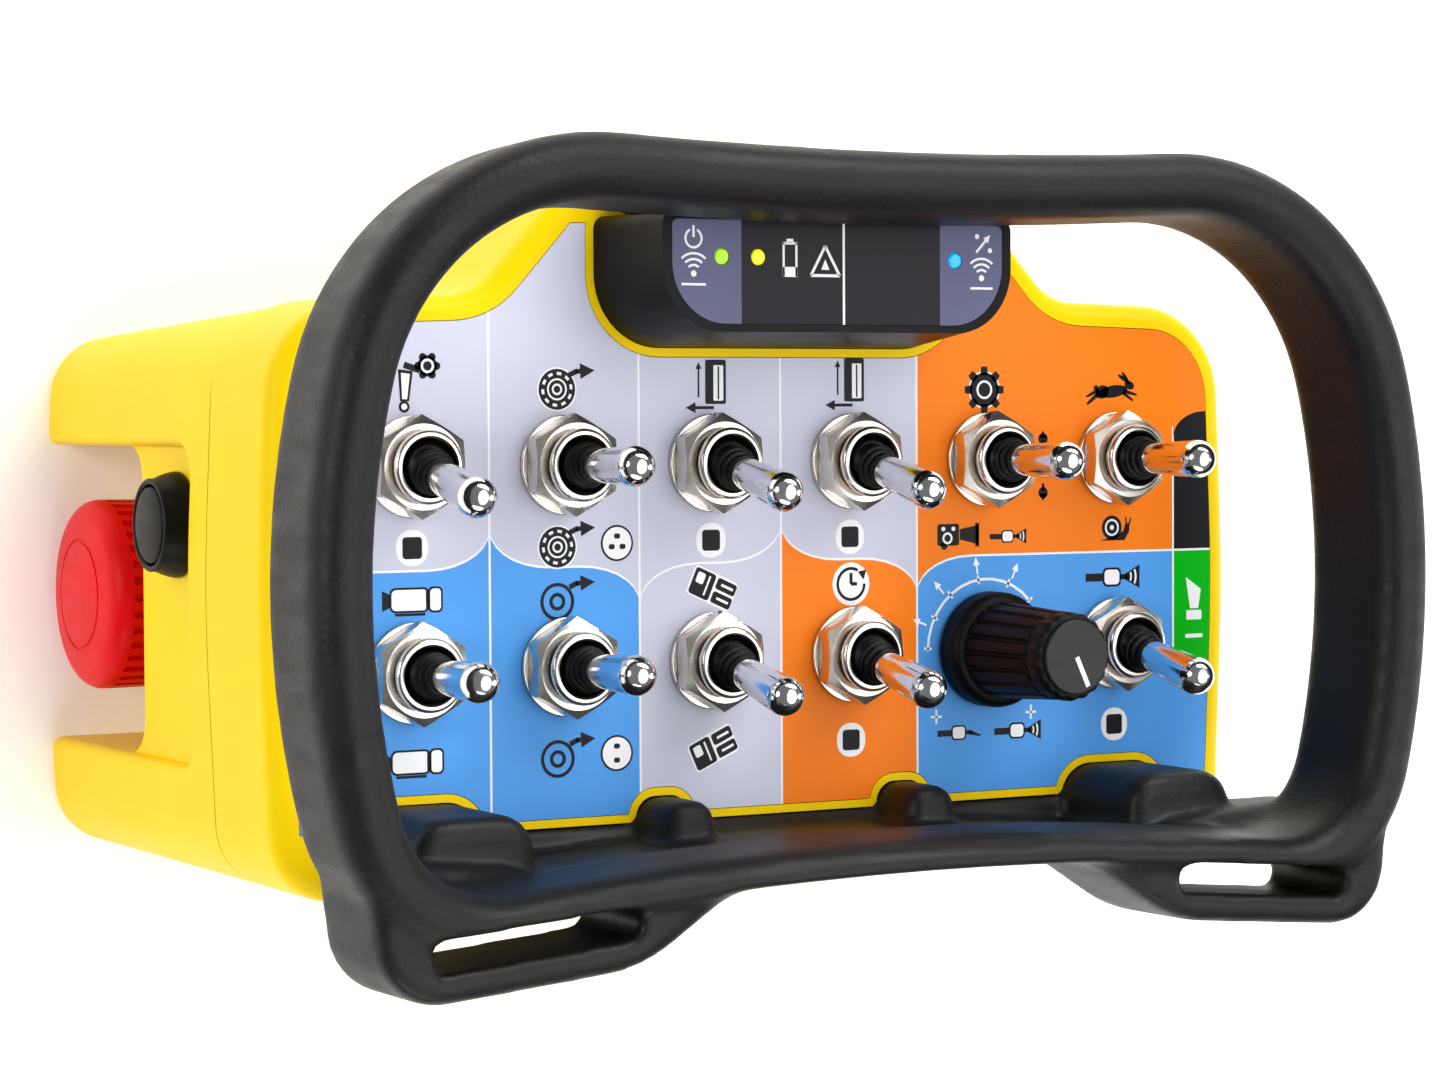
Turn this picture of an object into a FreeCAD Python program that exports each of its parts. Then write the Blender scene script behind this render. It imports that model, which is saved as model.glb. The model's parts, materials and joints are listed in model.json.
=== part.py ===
"""Belly-carried radio remote control with a guard frame, eleven toggle levers, a speed knob,
a stop button and a start button. Sizes are millimetres. The construction frame lies on the control
panel: X to the right, Y towards the display, Z out of the panel, with its origin at the middle of the
lever grid. Every piece is moved at the end so that the unit lies on its back with Z = 0 underneath."""
import FreeCAD
import Part
import math
import os

V = FreeCAD.Vector
X_DIR = V(1, 0, 0)
Y_DIR = V(0, 1, 0)
Z_DIR = V(0, 0, 1)
ORIGIN = V(0, 0, 0)

# Lever grid
COLUMN_COUNT = 6
GRID_SIDE_MARGIN = 29.8
ROW_SPACING = 38.5
KNOB_COLUMN = 4
LEVER_TILT = 13.0
TILTED_TOP_COLUMNS = (0, 2, 3)
TILTED_BOTTOM_COLUMNS = (2, 3, 5)

# Housing outline on the panel plane
BODY_HALF_WIDTH = 109.8
COLUMN_PITCH = 2 * (BODY_HALF_WIDTH - GRID_SIDE_MARGIN) / (COLUMN_COUNT - 1)
BODY_SIDE_BULGE = 2.4
BODY_CORNER_HALF_WIDTH = BODY_HALF_WIDTH - BODY_SIDE_BULGE
BODY_WIDEST_Y = -6.0
BODY_SIDE_BOW_RADIUS = 350.0
SHOULDER_Y = 50.3
SHOULDER_RADIUS = 19.5
BODY_BOTTOM_Y = -61.4
BODY_BOTTOM_RADIUS = 13.0
HUMP_TOP_Y = 77.0
HUMP_TOP_HALF_WIDTH = 42.5
HUMP_TOP_RADIUS = 8.0
HUMP_FOOT_HALF_WIDTH = 65.5
HUMP_FOOT_RADIUS = 14.0
HUMP_FOOT_RISE = 1.3

# Housing depths and walls
SEAM_DEPTH = 29.0
GASKET_THICKNESS = 0.4
GASKET_INSET = 0.3
GASKET_WIDTH = 2.0
FOOT_DEPTH = 124.0
REAR_SHOULDER_DROP = 4.8
REAR_CORNER_RADIUS = 13.0
REAR_EDGE_RADIUS = 4.0
FRONT_EDGE_RADIUS = 4.0
WALL = 3.0
OVERCUT = 1.0
HUMP_FAIRING_DEPTH = 48.0
HUMP_FAIRING_END_RISE = 4.0

# Control panel plate and printed foil
RIM_WIDTH = 5.0
FOIL_TOP_Y = 65.2
FOIL_BOTTOM_Y = -48.2
RIM_BOTTOM_Y = -50.1
INNER_RIM_WIDTH = 1.9
FOIL_THICKNESS = 0.5
PLATE_THICKNESS = 2.5
PLATE_LEDGE = 4.0
PLATE_CLEARANCE = 0.15
FRONT_WALL = 6.4

# Side recess of the rear housing with the start button and the stop button
RECESS_TOP_Y = 23.0
RECESS_BOTTOM_Y = -38.8
RECESS_RADIUS = 7.0
START_POCKET_FRONT_Z = -40.0
START_POCKET_INSET = 4.3
START_POCKET_X = BODY_HALF_WIDTH - START_POCKET_INSET
STOP_POCKET_INSET = 22.8
STOP_POCKET_X = BODY_HALF_WIDTH - STOP_POCKET_INSET
STOP_POCKET_MARGIN = 29.0
RECESS_EDGE = 2.0
CHANNEL_DEPTH = 4.0

# Guard frame loop
FRAME_BAR = 12.1
FRAME_FRONT_Z = 52.6
FRAME_REAR_Z = 24.8
FRAME_FLARE = 0.5
FRAME_LEAN = -0.8
FRAME_LEAN_Y = 30.0
LEG_OVERHANG = 5.45
LEG_X = BODY_HALF_WIDTH + LEG_OVERHANG
LEG_WIDEST_Y = -2.6
LEG_BOW_RADIUS = 160.7
FRAME_TOP_Y = 70.75
FRAME_TOP_RADIUS = 1135.0
FRAME_TOP_CORNER = 48.65
FRAME_BOTTOM_Y = -56.2
FRAME_BOTTOM_RADIUS = 725.0
FRAME_BOTTOM_CORNER = 25.4

# Belt tabs of the guard frame
TAB_FRONT_Z = 50.3
TAB_REAR_Z = 24.5
TAB_ROOT_INSET = 76.25
TAB_ROOT_X = LEG_X - TAB_ROOT_INSET
TAB_ROOT_RADIUS = 20.0
TAB_ROOT_OVERLAP = 10.0
TAB_KNEE_INSET = 56.75
TAB_KNEE_X = LEG_X - TAB_KNEE_INSET
TAB_KNEE_Y = -70.0
TAB_END_INSET = 6.75
TAB_END_X = LEG_X - TAB_END_INSET
TAB_END_Y = -74.4
TAB_SIDE_INSET = 4.0
TAB_END_RADIUS = 12.0
TAB_KNEE_RADIUS = 28.0
TAB_EDGE = 2.5
SLOT_INSET = 35.75
SLOT_X = LEG_X - SLOT_INSET
SLOT_Y = -63.2
SLOT_LENGTH = 41.0
SLOT_HEIGHT = 6.0
SLOT_TILT = -5.0
SLOT_RADIUS = 2.4
TAB_ROOT_DROP = 3.0

# Lower deck, flange, bosses and upper neck of the guard frame
DECK_DROP = 2.0
DECK_THICKNESS = 3.0
FLANGE_INSET = 12.8
FLANGE_HALF_WIDTH = BODY_HALF_WIDTH - FLANGE_INSET
DECK_HALF_WIDTH = FLANGE_HALF_WIDTH
DECK_REAR_Z = 0.3
DECK_FRONT_Z = 42.0
FLANGE_REAR_Z = -7.0
FLANGE_FRONT_Z = 1.2
FLANGE_CLEARANCE = 0.2
BIG_BOSS_INSET = 30.8
BIG_BOSS_X = BODY_HALF_WIDTH - BIG_BOSS_INSET
BIG_BOSS_HALF_WIDTH = 12.5
BIG_BOSS_TOP_Y = -44.0
BIG_BOSS_FRONT_Z = 25.5
BIG_BOSS_RADIUS = 7.0
SMALL_BOSS_X = 27.3
SMALL_BOSS_HALF_WIDTH = 5.6
SMALL_BOSS_TOP_Y = -45.2
SMALL_BOSS_FRONT_Z = 13.0
SMALL_BOSS_RADIUS = 4.0
BOSS_EDGE = 3.0
RAMP_FOOT_INSET = 49.25
RAMP_FOOT_X = LEG_X - RAMP_FOOT_INSET
RAMP_KNEE_INSET = 41.25
RAMP_KNEE_X = LEG_X - RAMP_KNEE_INSET
RAMP_KNEE_Y = -53.2
RAMP_END_INSET = 9.25
RAMP_END_X = LEG_X - RAMP_END_INSET
RAMP_END_Y = -50.3
RAMP_REAR_Z = 4.0
RAMP_FRONT_Z = 30.0
RAMP_HOLLOW_RADIUS = 20.0
RAMP_EDGE = 1.5
NECK_HALF_WIDTH = 38.0
NECK_BOTTOM_Y = 67.0
NECK_TOP_Y = 73.6
NECK_REAR_Z = 0.2

# Display pod with its window and lamps
POD_HALF_WIDTH = 41.5
POD_TOP_Y = 66.6
POD_BOTTOM_Y = 41.6
POD_RADIUS = 14.0
POD_TOP_RADIUS = 2.5
POD_FRONT_Z = 22.6
POD_TAPER = 2.6
POD_WALL = 2.4
POD_FLANGE = 2.0
POD_REAR_Z = -8.4
WINDOW_HALF_WIDTH = 36.8
WINDOW_TOP_Y = 65.2
WINDOW_BOTTOM_Y = 45.7
WINDOW_RADIUS = 11.5
WINDOW_THICKNESS = 1.4
WINDOW_CLEARANCE = 0.1
LAMP_DIAMETER = 3.0
LAMP_LENGTH = 6.0
LAMP_PROUD = 0.2
LAMP_CLEARANCE = 0.1
LAMP_Y = 58.3
LAMP_X = {"led_green": -26.2, "led_yellow": -18.3, "led_blue": 25.9}

# Toggle switches
BUSHING_DIAMETER = 12.0
BUSHING_TOP_Z = 8.6
BUSHING_BORE = 10.9
BUSHING_HEAD_DIAMETER = 14.0
BUSHING_HEAD = 1.8
WASHER_DIAMETER = 19.1
WASHER_THICKNESS = 1.0
NUT_ACROSS_FLATS = 17.0
NUT_THICKNESS = 4.6
THREAD_CLEARANCE = 0.1
PIVOT_Z = 5.2
CASE_WIDTH = 15.0
CASE_LENGTH = 17.0
CASE_DEPTH = 20.0
CASE_RADIUS = 1.5
TAG_WIDTH = 3.8
TAG_THICKNESS = 0.8
TAG_LENGTH = 3.8
BOOT_RADIUS = 5.15
BOOT_STEP_RADIUS = 4.2
BOOT_NECK_RADIUS = 3.6
BOOT_STEP_Z = 9.6
BOOT_NECK_Z = 11.2
BOOT_TOP_Z = 13.4
LEVER_ROOT_RADIUS = 3.1
LEVER_TIP_RADIUS = 3.85
LEVER_TIP_Z = 32.0
LEVER_NECK_RADIUS = 2.6
PIVOT_PIN_DIAMETER = 2.4
PIVOT_PIN_LENGTH = 9.0

# Speed knob on its potentiometer
KNOB_FLANGE_DIAMETER = 23.4
KNOB_FLANGE_HEIGHT = 6.0
KNOB_GAP = 0.6
KNOB_BODY_DIAMETER = 19.4
KNOB_TOP_DIAMETER = 16.4
KNOB_TOP_Z = 31.0
KNOB_RIBS = 18
KNOB_RIB_WIDTH = 1.1
KNOB_RIB_DEPTH = 0.7
KNOB_CAP_DIAMETER = 14.6
KNOB_CAP_HEIGHT = 1.0
KNOB_CAP_SEAT = 1.4
KNOB_HOLLOW_DIAMETER = 16.0
KNOB_HOLLOW_HEIGHT = 5.0
POINTER_WIDTH = 1.0
POINTER_LENGTH = 6.4
POINTER_INLAY = 0.4
POINTER_ANGLE = -65.0
POT_SHAFT_DIAMETER = 6.0
POT_SHAFT_TOP_Z = 22.0
POT_BUSHING_DIAMETER = 9.0
POT_BUSHING_TOP_Z = 4.4
POT_NUT_ACROSS_FLATS = 12.0
POT_NUT_THICKNESS = 2.4
POT_CASE_DIAMETER = 17.0
POT_CASE_DEPTH = 11.0
SHAFT_CLEARANCE = 0.05

# Stop button, its axis along X
STOP_Y = -7.9
STOP_REAR_INSET = 22.0
STOP_Z = STOP_REAR_INSET - FOOT_DEPTH
STOP_POCKET_FRONT_Z = STOP_Z + STOP_POCKET_MARGIN
STOP_FACE_INSET = 0.4
STOP_FACE_X = BODY_HALF_WIDTH - STOP_FACE_INSET
STOP_HEAD_DIAMETER = 39.2
STOP_HEAD_DEPTH = 14.0
STOP_HEAD_EDGE = 4.2
STOP_CROWN = 1.2
STOP_RIBS = 36
STOP_RIB_DEPTH = 0.8
STOP_SKIRT_TAPER = 0.2
STOP_RIB_WIDTH = 2.0
STOP_RIB_LENGTH = 8.2
STOP_SOCKET_DIAMETER = 30.0
STOP_SOCKET_DEPTH = 8.0
STOP_STEM_DIAMETER = 14.0
STOP_STEM_SPIGOT = 6.0
STOP_TRAVEL = 4.0
STOP_COLLAR_DIAMETER = 28.0
STOP_COLLAR_LENGTH = 3.6
STOP_TUBE_DIAMETER = 22.0
STOP_TUBE_LENGTH = 14.0
STOP_NUT_DIAMETER = 28.0
STOP_NUT_LENGTH = 5.0
STOP_BLOCK_SIZE = 28.0
STOP_BLOCK_LENGTH = 20.0
STOP_BLOCK_RADIUS = 1.8
STOP_CLEARANCE = 0.3

# Start button, its axis along X
START_Y = 7.7
START_Z = -53.0
START_BASE_DIAMETER = 20.8
START_RIM_DIAMETER = 17.4
START_BEZEL_LENGTH = 6.4
START_BEZEL_FOOT = 1.0
START_CAP_DIAMETER = 15.2
START_CAP_LENGTH = 3.5
START_CAP_PROUD = 0.8
START_CAP_CROWN = 0.7
START_TRAVEL = 2.0
START_STEM_DIAMETER = 6.0
START_TUBE_DIAMETER = 12.0
START_TUBE_LENGTH = 9.0
START_SWITCH_SIZE = 9.0
START_SWITCH_RADIUS = 0.8
START_SWITCH_LENGTH = 12.0
START_CLEARANCE = 0.3

# Inner pieces
BOARD_Z = -52.0
BOARD_THICKNESS = 1.6
BOARD_LENGTH = 120.0
BOARD_WIDTH = 70.0
BOARD_RADIUS = 4.0
BOARD_Y = -6.0
BOARD_POST_DIAMETER = 7.0
BOARD_POST_INSET = 6.0
RADIO_LENGTH = 32.0
RADIO_WIDTH = 24.0
RADIO_HEIGHT = 4.0
RADIO_RADIUS = 1.0
ANTENNA_DIAMETER = 5.0
ANTENNA_LENGTH = 64.0
ANTENNA_Y = 58.0
ANTENNA_Z = -20.0
ANTENNA_SADDLE_WIDTH = 6.0
DISPLAY_BOARD_THICKNESS = 1.6
BATTERY_MARGIN = 5.0
STOP_BLOCK_END_X = STOP_POCKET_X - STOP_TUBE_LENGTH - STOP_BLOCK_LENGTH
BATTERY_LENGTH = 2 * (STOP_BLOCK_END_X - BATTERY_MARGIN)
BATTERY_WIDTH = 46.0
BATTERY_DEPTH = 24.0
BATTERY_RADIUS = 5.0
BATTERY_CLEARANCE = 0.3
BATTERY_GRIP_LENGTH = 40.0
BATTERY_GRIP_WIDTH = 23.0
BATTERY_GRIP_DEPTH = 2.0

# Screws
HOUSING_SCREW_INSET = 15.8
HOUSING_SCREW_X = BODY_HALF_WIDTH - HOUSING_SCREW_INSET
HOUSING_SCREW_TOP_Y = 33.0
HOUSING_SCREW_BOTTOM_Y = -49.0
SCREW_COLUMN_DIAMETER = 12.0
SCREW_HEAD_DIAMETER = 7.0
SCREW_HEAD_HEIGHT = 3.0
SCREW_DIAMETER = 4.0
SCREW_LENGTH = 22.0
SCREW_WELL_Z = -48.0
SCREW_FIT = 0.15
FRAME_SCREW_LENGTH = 14.0
FRAME_SCREW_Y = -50.6
NECK_SCREW_X = 26.0
NECK_SCREW_Y = 70.3


def rounded_outline(corners, z=0.0):
    """Closed wire through corner points (x, y, radius), each corner rounded by a tangent arc."""
    points = [V(x, y, z) for x, y, _ in corners]
    count = len(points)
    starts = []
    ends = []
    mids = []
    for i in range(count):
        corner = points[i]
        back = points[i - 1].sub(corner)
        ahead = points[(i + 1) % count].sub(corner)
        back.normalize()
        ahead.normalize()
        half = back.getAngle(ahead) / 2
        reach = corners[i][2] / math.tan(half)
        middle = back.add(ahead)
        starts.append(corner.add(back.multiply(reach)))
        ends.append(corner.add(ahead.multiply(reach)))
        if corners[i][2] > 0:
            middle.normalize()
            mids.append(corner.add(middle.multiply(corners[i][2] * (1 / math.sin(half) - 1))))
        else:
            mids.append(None)
    edges = []
    for i in range(count):
        if mids[i] is not None:
            edges.append(Part.Arc(starts[i], mids[i], ends[i]).toShape())
        edges.append(Part.LineSegment(ends[i], starts[(i + 1) % count]).toShape())
    return Part.Wire(edges)


def mirrored(right_half):
    """Corner list of a shape that is symmetric in X, from its right half, top to bottom."""
    left_half = [(-x, y, radius) for x, y, radius in reversed(right_half)]
    return right_half + left_half


def prism(wire_or_face, low_z, high_z):
    """Solid between two heights over an outline that lies at z = 0."""
    face = wire_or_face if wire_or_face.ShapeType == "Face" else Part.Face(wire_or_face)
    solid = face.extrude(V(0, 0, high_z - low_z))
    solid.translate(V(0, 0, low_z))
    return solid


def flat_box(x0, x1, y0, y1, z0, z1):
    """Box between two corners."""
    return Part.makeBox(x1 - x0, y1 - y0, z1 - z0, V(x0, y0, z0))


def rounded_box(half_x, y0, y1, radius, z0, z1, centre_x=0.0):
    """Upright block with rounded corners, symmetric about centre_x."""
    corners = [
        (centre_x + half_x, y1, radius),
        (centre_x + half_x, y0, radius),
        (centre_x - half_x, y0, radius),
        (centre_x - half_x, y1, radius),
    ]
    return prism(rounded_outline(corners), z0, z1)


def post(x, y, z0, z1, diameter):
    """Upright round bar."""
    return Part.makeCylinder(diameter / 2, z1 - z0, V(x, y, z0))


def hexagon(across_flats, z0, z1):
    """Hexagonal prism on the Z axis with corners towards plus and minus Y."""
    radius = across_flats / math.sqrt(3)
    points = []
    for k in range(7):
        angle = math.radians(30 + 60 * k)
        points.append(V(radius * math.cos(angle), radius * math.sin(angle), 0))
    return prism(Part.makePolygon(points), z0, z1)


def revolved(profile):
    """Solid of revolution about Z from (radius, z) points, closed along the axis order given."""
    points = [V(radius, 0, z) for radius, z in profile]
    wire = Part.makePolygon(points + points[:1])
    return Part.Face(wire).revolve(ORIGIN, Z_DIR, 360)


def fused(shapes):
    """One solid from several that meet or overlap."""
    return shapes[0].multiFuse(shapes[1:]).removeSplitter()


def edges_at_z(shape, z, tolerance=1e-4):
    """Edges that lie wholly in one horizontal plane."""
    found = []
    for edge in shape.Edges:
        box = edge.BoundBox
        if abs(box.ZMin - z) < tolerance and abs(box.ZMax - z) < tolerance:
            found.append(edge)
    return found


def placed_along_x(shape, y, z, face_x):
    """Turns a piece built along +Z so that +Z points to the left, with z = 0 at the given face."""
    turned = shape.copy()
    turned.rotate(ORIGIN, Y_DIR, -90)
    turned.translate(V(-face_x, y, z))
    return turned


def column_x(column):
    """X of a lever column."""
    return (column - (COLUMN_COUNT - 1) / 2) * COLUMN_PITCH


def lever_places():
    """Lever positions as (x, y, tilted at rest), top row first, leaving the knob's place out."""
    places = []
    for column in range(COLUMN_COUNT):
        places.append((column_x(column), ROW_SPACING / 2, column in TILTED_TOP_COLUMNS))
    for column in range(COLUMN_COUNT):
        if column != KNOB_COLUMN:
            places.append((column_x(column), -ROW_SPACING / 2, column in TILTED_BOTTOM_COLUMNS))
    return places


def knob_place():
    """Centre of the speed knob on the panel."""
    return V(column_x(KNOB_COLUMN), -ROW_SPACING / 2, 0)


# Flat outlines on the panel plane

def body_corners():
    """Right half of the front housing outline, from the hump down to the bottom corner."""
    return [
        (HUMP_TOP_HALF_WIDTH, HUMP_TOP_Y, HUMP_TOP_RADIUS),
        (HUMP_FOOT_HALF_WIDTH, SHOULDER_Y + HUMP_FOOT_RISE, HUMP_FOOT_RADIUS),
        (BODY_CORNER_HALF_WIDTH, SHOULDER_Y, SHOULDER_RADIUS),
        (BODY_HALF_WIDTH, BODY_WIDEST_Y, BODY_SIDE_BOW_RADIUS),
        (BODY_CORNER_HALF_WIDTH, BODY_BOTTOM_Y, BODY_BOTTOM_RADIUS),
    ]


def body_outline():
    """Front housing outline with the display hump."""
    return rounded_outline(mirrored(body_corners()))


def plain_body_corners(top_y, bottom_y, top_radius, bottom_radius):
    """Right half of a housing outline without the hump."""
    return [
        (BODY_CORNER_HALF_WIDTH, top_y, top_radius),
        (BODY_HALF_WIDTH, BODY_WIDEST_Y, BODY_SIDE_BOW_RADIUS),
        (BODY_CORNER_HALF_WIDTH, bottom_y, bottom_radius),
    ]


def pod_outline(grow, taper=0.0, top_grow=None):
    """Display pod outline, grown outwards and tapered towards its front."""
    half = POD_HALF_WIDTH + grow - taper
    top_y = POD_TOP_Y + (grow if top_grow is None else top_grow)
    corners = [
        (half, top_y, POD_TOP_RADIUS + max(grow, 0.0)),
        (half, POD_BOTTOM_Y - grow + taper, POD_RADIUS + grow - taper / 2),
    ]
    return rounded_outline(mirrored(corners))


def window_outline(grow):
    """Display window outline."""
    corners = [
        (WINDOW_HALF_WIDTH + grow, WINDOW_TOP_Y + grow, POD_TOP_RADIUS / 2 + max(grow, 0.0)),
        (WINDOW_HALF_WIDTH + grow, WINDOW_BOTTOM_Y - grow, WINDOW_RADIUS + grow),
    ]
    return rounded_outline(mirrored(corners))


def boss_outline(x, half_width, top_y, radius, grow):
    """Rounded arch of one frame boss on the panel plane."""
    low_y = BODY_BOTTOM_Y + FLANGE_CLEARANCE
    return rounded_outline([
        (x + half_width + grow, top_y + grow, radius + grow),
        (x + half_width + grow, low_y - grow, 0.0),
        (x - half_width - grow, low_y - grow, 0.0),
        (x - half_width - grow, top_y + grow, radius + grow),
    ])


def boss_sizes():
    """Place and size of the four bosses as (x, half width, top, radius, front)."""
    big = (BIG_BOSS_HALF_WIDTH, BIG_BOSS_TOP_Y, BIG_BOSS_RADIUS, BIG_BOSS_FRONT_Z)
    small = (SMALL_BOSS_HALF_WIDTH, SMALL_BOSS_TOP_Y, SMALL_BOSS_RADIUS, SMALL_BOSS_FRONT_Z)
    return [(x,) + size for size, offset in ((big, BIG_BOSS_X), (small, SMALL_BOSS_X))
            for x in (-offset, offset)]


def flange_block(grow, low_z, high_z):
    """Frame flange with its four boss arches, grown by a clearance."""
    corners = [
        (FLANGE_HALF_WIDTH + grow, RIM_BOTTOM_Y + grow, 0.0),
        (FLANGE_HALF_WIDTH + grow, BODY_BOTTOM_Y + FLANGE_CLEARANCE - grow, 0.0),
    ]
    blocks = [prism(rounded_outline(mirrored(corners)), low_z, high_z)]
    for x, half_width, top_y, radius, _ in boss_sizes():
        blocks.append(prism(boss_outline(x, half_width, top_y, radius, grow), low_z, high_z))
    return fused(blocks)


def foil_face(grow=0.0):
    """Printed foil: the body outline less its rim, the pod, the bosses and their yellow borders."""
    inner = Part.Face(body_outline().makeOffset2D(-(RIM_WIDTH - grow)))
    border = INNER_RIM_WIDTH - grow
    wide = 2 * BODY_HALF_WIDTH
    face = inner.common(flat_box(-wide, wide, FOIL_BOTTOM_Y - grow, FOIL_TOP_Y + grow, -OVERCUT, OVERCUT))
    face = face.cut(prism(pod_outline(border), -OVERCUT, OVERCUT))
    face = face.cut(flange_block(border, -OVERCUT, OVERCUT))
    return max(face.Faces, key=lambda piece: piece.Area)


# Housing

def front_housing():
    """Front shell with the rim, the panel seat, the display opening and the rebate for the frame."""
    outer = prism(body_outline(), -SEAM_DEPTH, 0)
    outer = outer.makeFillet(FRONT_EDGE_RADIUS, edges_at_z(outer, 0))
    cavity = prism(body_outline().makeOffset2D(-WALL), -SEAM_DEPTH, -FRONT_WALL)
    seat = prism(foil_face(PLATE_CLEARANCE), -(FOIL_THICKNESS + PLATE_THICKNESS), OVERCUT)
    window = prism(foil_face(-PLATE_LEDGE), -FRONT_WALL - OVERCUT, 0)
    pod_hole = prism(pod_outline(WINDOW_CLEARANCE), -FRONT_WALL - OVERCUT, OVERCUT)
    rebate_depth = FLANGE_REAR_Z - FLANGE_CLEARANCE
    rebate = flange_block(FLANGE_CLEARANCE, rebate_depth, OVERCUT)
    skirt = flat_box(-FLANGE_HALF_WIDTH - FLANGE_CLEARANCE, FLANGE_HALF_WIDTH + FLANGE_CLEARANCE,
                     BODY_BOTTOM_Y - WALL, RIM_BOTTOM_Y, rebate_depth, OVERCUT)
    shell = outer.cut(cavity)
    floor = flange_block(WALL, rebate_depth - WALL, -FRONT_WALL)
    floor = floor.common(prism(body_outline(), -SEAM_DEPTH, 0))
    shell = shell.fuse(floor)
    for x, y in housing_screw_places():
        column = post(x, y, -SEAM_DEPTH, -FRONT_WALL, SCREW_COLUMN_DIAMETER)
        shell = shell.fuse(column)
    for x in (-ANTENNA_LENGTH / 4, ANTENNA_LENGTH / 4):
        saddle = flat_box(x - ANTENNA_SADDLE_WIDTH / 2, x + ANTENNA_SADDLE_WIDTH / 2,
                          ANTENNA_Y + ANTENNA_DIAMETER / 2, HUMP_TOP_Y - WALL / 2,
                          ANTENNA_Z - ANTENNA_DIAMETER, ANTENNA_Z + ANTENNA_DIAMETER)
        shell = shell.fuse(saddle)
    for tool in (seat, window, pod_hole, rebate, skirt):
        shell = shell.cut(tool)
    for x, y in housing_screw_places():
        hole_end = SCREW_WELL_Z + SCREW_LENGTH + OVERCUT
        hole = post(x, y, -SEAM_DEPTH - OVERCUT, hole_end, SCREW_DIAMETER - 2 * SCREW_FIT)
        shell = shell.cut(hole)
    for x, y, head_z in frame_screw_places():
        shell = shell.cut(post(x, y, head_z - OVERCUT, OVERCUT, SCREW_DIAMETER + 2 * SCREW_FIT))
    return shell.removeSplitter()


def recess_tools(side, grow=0.0):
    """Solids that hollow one side of the rear housing: the shallow front pocket and the deep rear one."""
    low = RECESS_BOTTOM_Y - grow
    high = RECESS_TOP_Y + grow
    rear = -FOOT_DEPTH - OVERCUT
    far = BODY_HALF_WIDTH + WALL
    tools = []
    for floor_x, front_z in ((START_POCKET_X, START_POCKET_FRONT_Z), (STOP_POCKET_X, STOP_POCKET_FRONT_Z)):
        box = flat_box(floor_x - grow, far, low, high, rear, front_z + grow)
        corner = [e for e in box.Edges if abs(e.Length - (far - floor_x + grow)) < 1e-6
                  and abs(e.BoundBox.ZMax - front_z - grow) < 1e-6]
        box = box.makeFillet(RECESS_RADIUS + grow, corner)
        if side < 0:
            box = box.mirror(ORIGIN, X_DIR)
        tools.append(box)
    return tools


def recess_mouth_edges(shell):
    """Edges where the side pockets open through the outer side faces."""
    found = []
    for edge in shell.Edges:
        box = edge.BoundBox
        inside = RECESS_BOTTOM_Y - WALL < box.YMin and box.YMax < RECESS_TOP_Y + WALL
        outside = min(abs(box.XMin), abs(box.XMax)) > START_POCKET_X + WALL / 2
        if inside and outside and box.ZMax < -SEAM_DEPTH - WALL:
            found.append(edge)
    return found


def housing_screw_places():
    """Screw columns near the four corners of the housing."""
    return [(x, y) for x in (-HOUSING_SCREW_X, HOUSING_SCREW_X)
            for y in (HOUSING_SCREW_BOTTOM_Y, HOUSING_SCREW_TOP_Y)]


def battery_places():
    """Rear wall height and battery bay floor height."""
    rear_wall_z = -FOOT_DEPTH + CHANNEL_DEPTH
    return rear_wall_z, rear_wall_z + BATTERY_DEPTH


def rear_loft(inset, front_z, rear_z):
    """Tapered rear body between two heights, inset by a wall."""
    front = rounded_outline(mirrored(plain_body_corners(
        SHOULDER_Y, BODY_BOTTOM_Y, SHOULDER_RADIUS, BODY_BOTTOM_RADIUS)))
    rear = rounded_outline(mirrored(plain_body_corners(
        SHOULDER_Y - REAR_SHOULDER_DROP, BODY_BOTTOM_Y, REAR_CORNER_RADIUS, REAR_CORNER_RADIUS)))
    if inset:
        front = front.makeOffset2D(-inset)
        rear = rear.makeOffset2D(-inset)
    front.translate(V(0, 0, front_z))
    rear.translate(V(0, 0, rear_z))
    return Part.makeLoft([front, rear], True, True)


def hump_fairing(inset, front_z):
    """Wedge behind the display hump that runs out on the shoulder of the rear housing."""
    low = SHOULDER_Y - REAR_SHOULDER_DROP - WALL
    front = rounded_outline(mirrored([
        (HUMP_TOP_HALF_WIDTH - inset / 2, HUMP_TOP_Y - inset, HUMP_TOP_RADIUS),
        (HUMP_FOOT_HALF_WIDTH - inset, SHOULDER_Y + HUMP_FOOT_RISE - inset, 0.0),
        (HUMP_FOOT_HALF_WIDTH - inset, low - inset, 0.0),
    ]))
    end_top = SHOULDER_Y - REAR_SHOULDER_DROP * HUMP_FAIRING_DEPTH / FOOT_DEPTH + HUMP_FAIRING_END_RISE
    rear = rounded_outline(mirrored([
        (HUMP_TOP_HALF_WIDTH - inset / 2, end_top - inset, HUMP_TOP_RADIUS / 4),
        (HUMP_FOOT_HALF_WIDTH - inset, low - inset + HUMP_FAIRING_END_RISE, 0.0),
        (HUMP_FOOT_HALF_WIDTH - inset, low - inset, 0.0),
    ]))
    front.translate(V(0, 0, front_z))
    rear.translate(V(0, 0, front_z - HUMP_FAIRING_DEPTH))
    return Part.makeLoft([front, rear], True, True)


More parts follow.
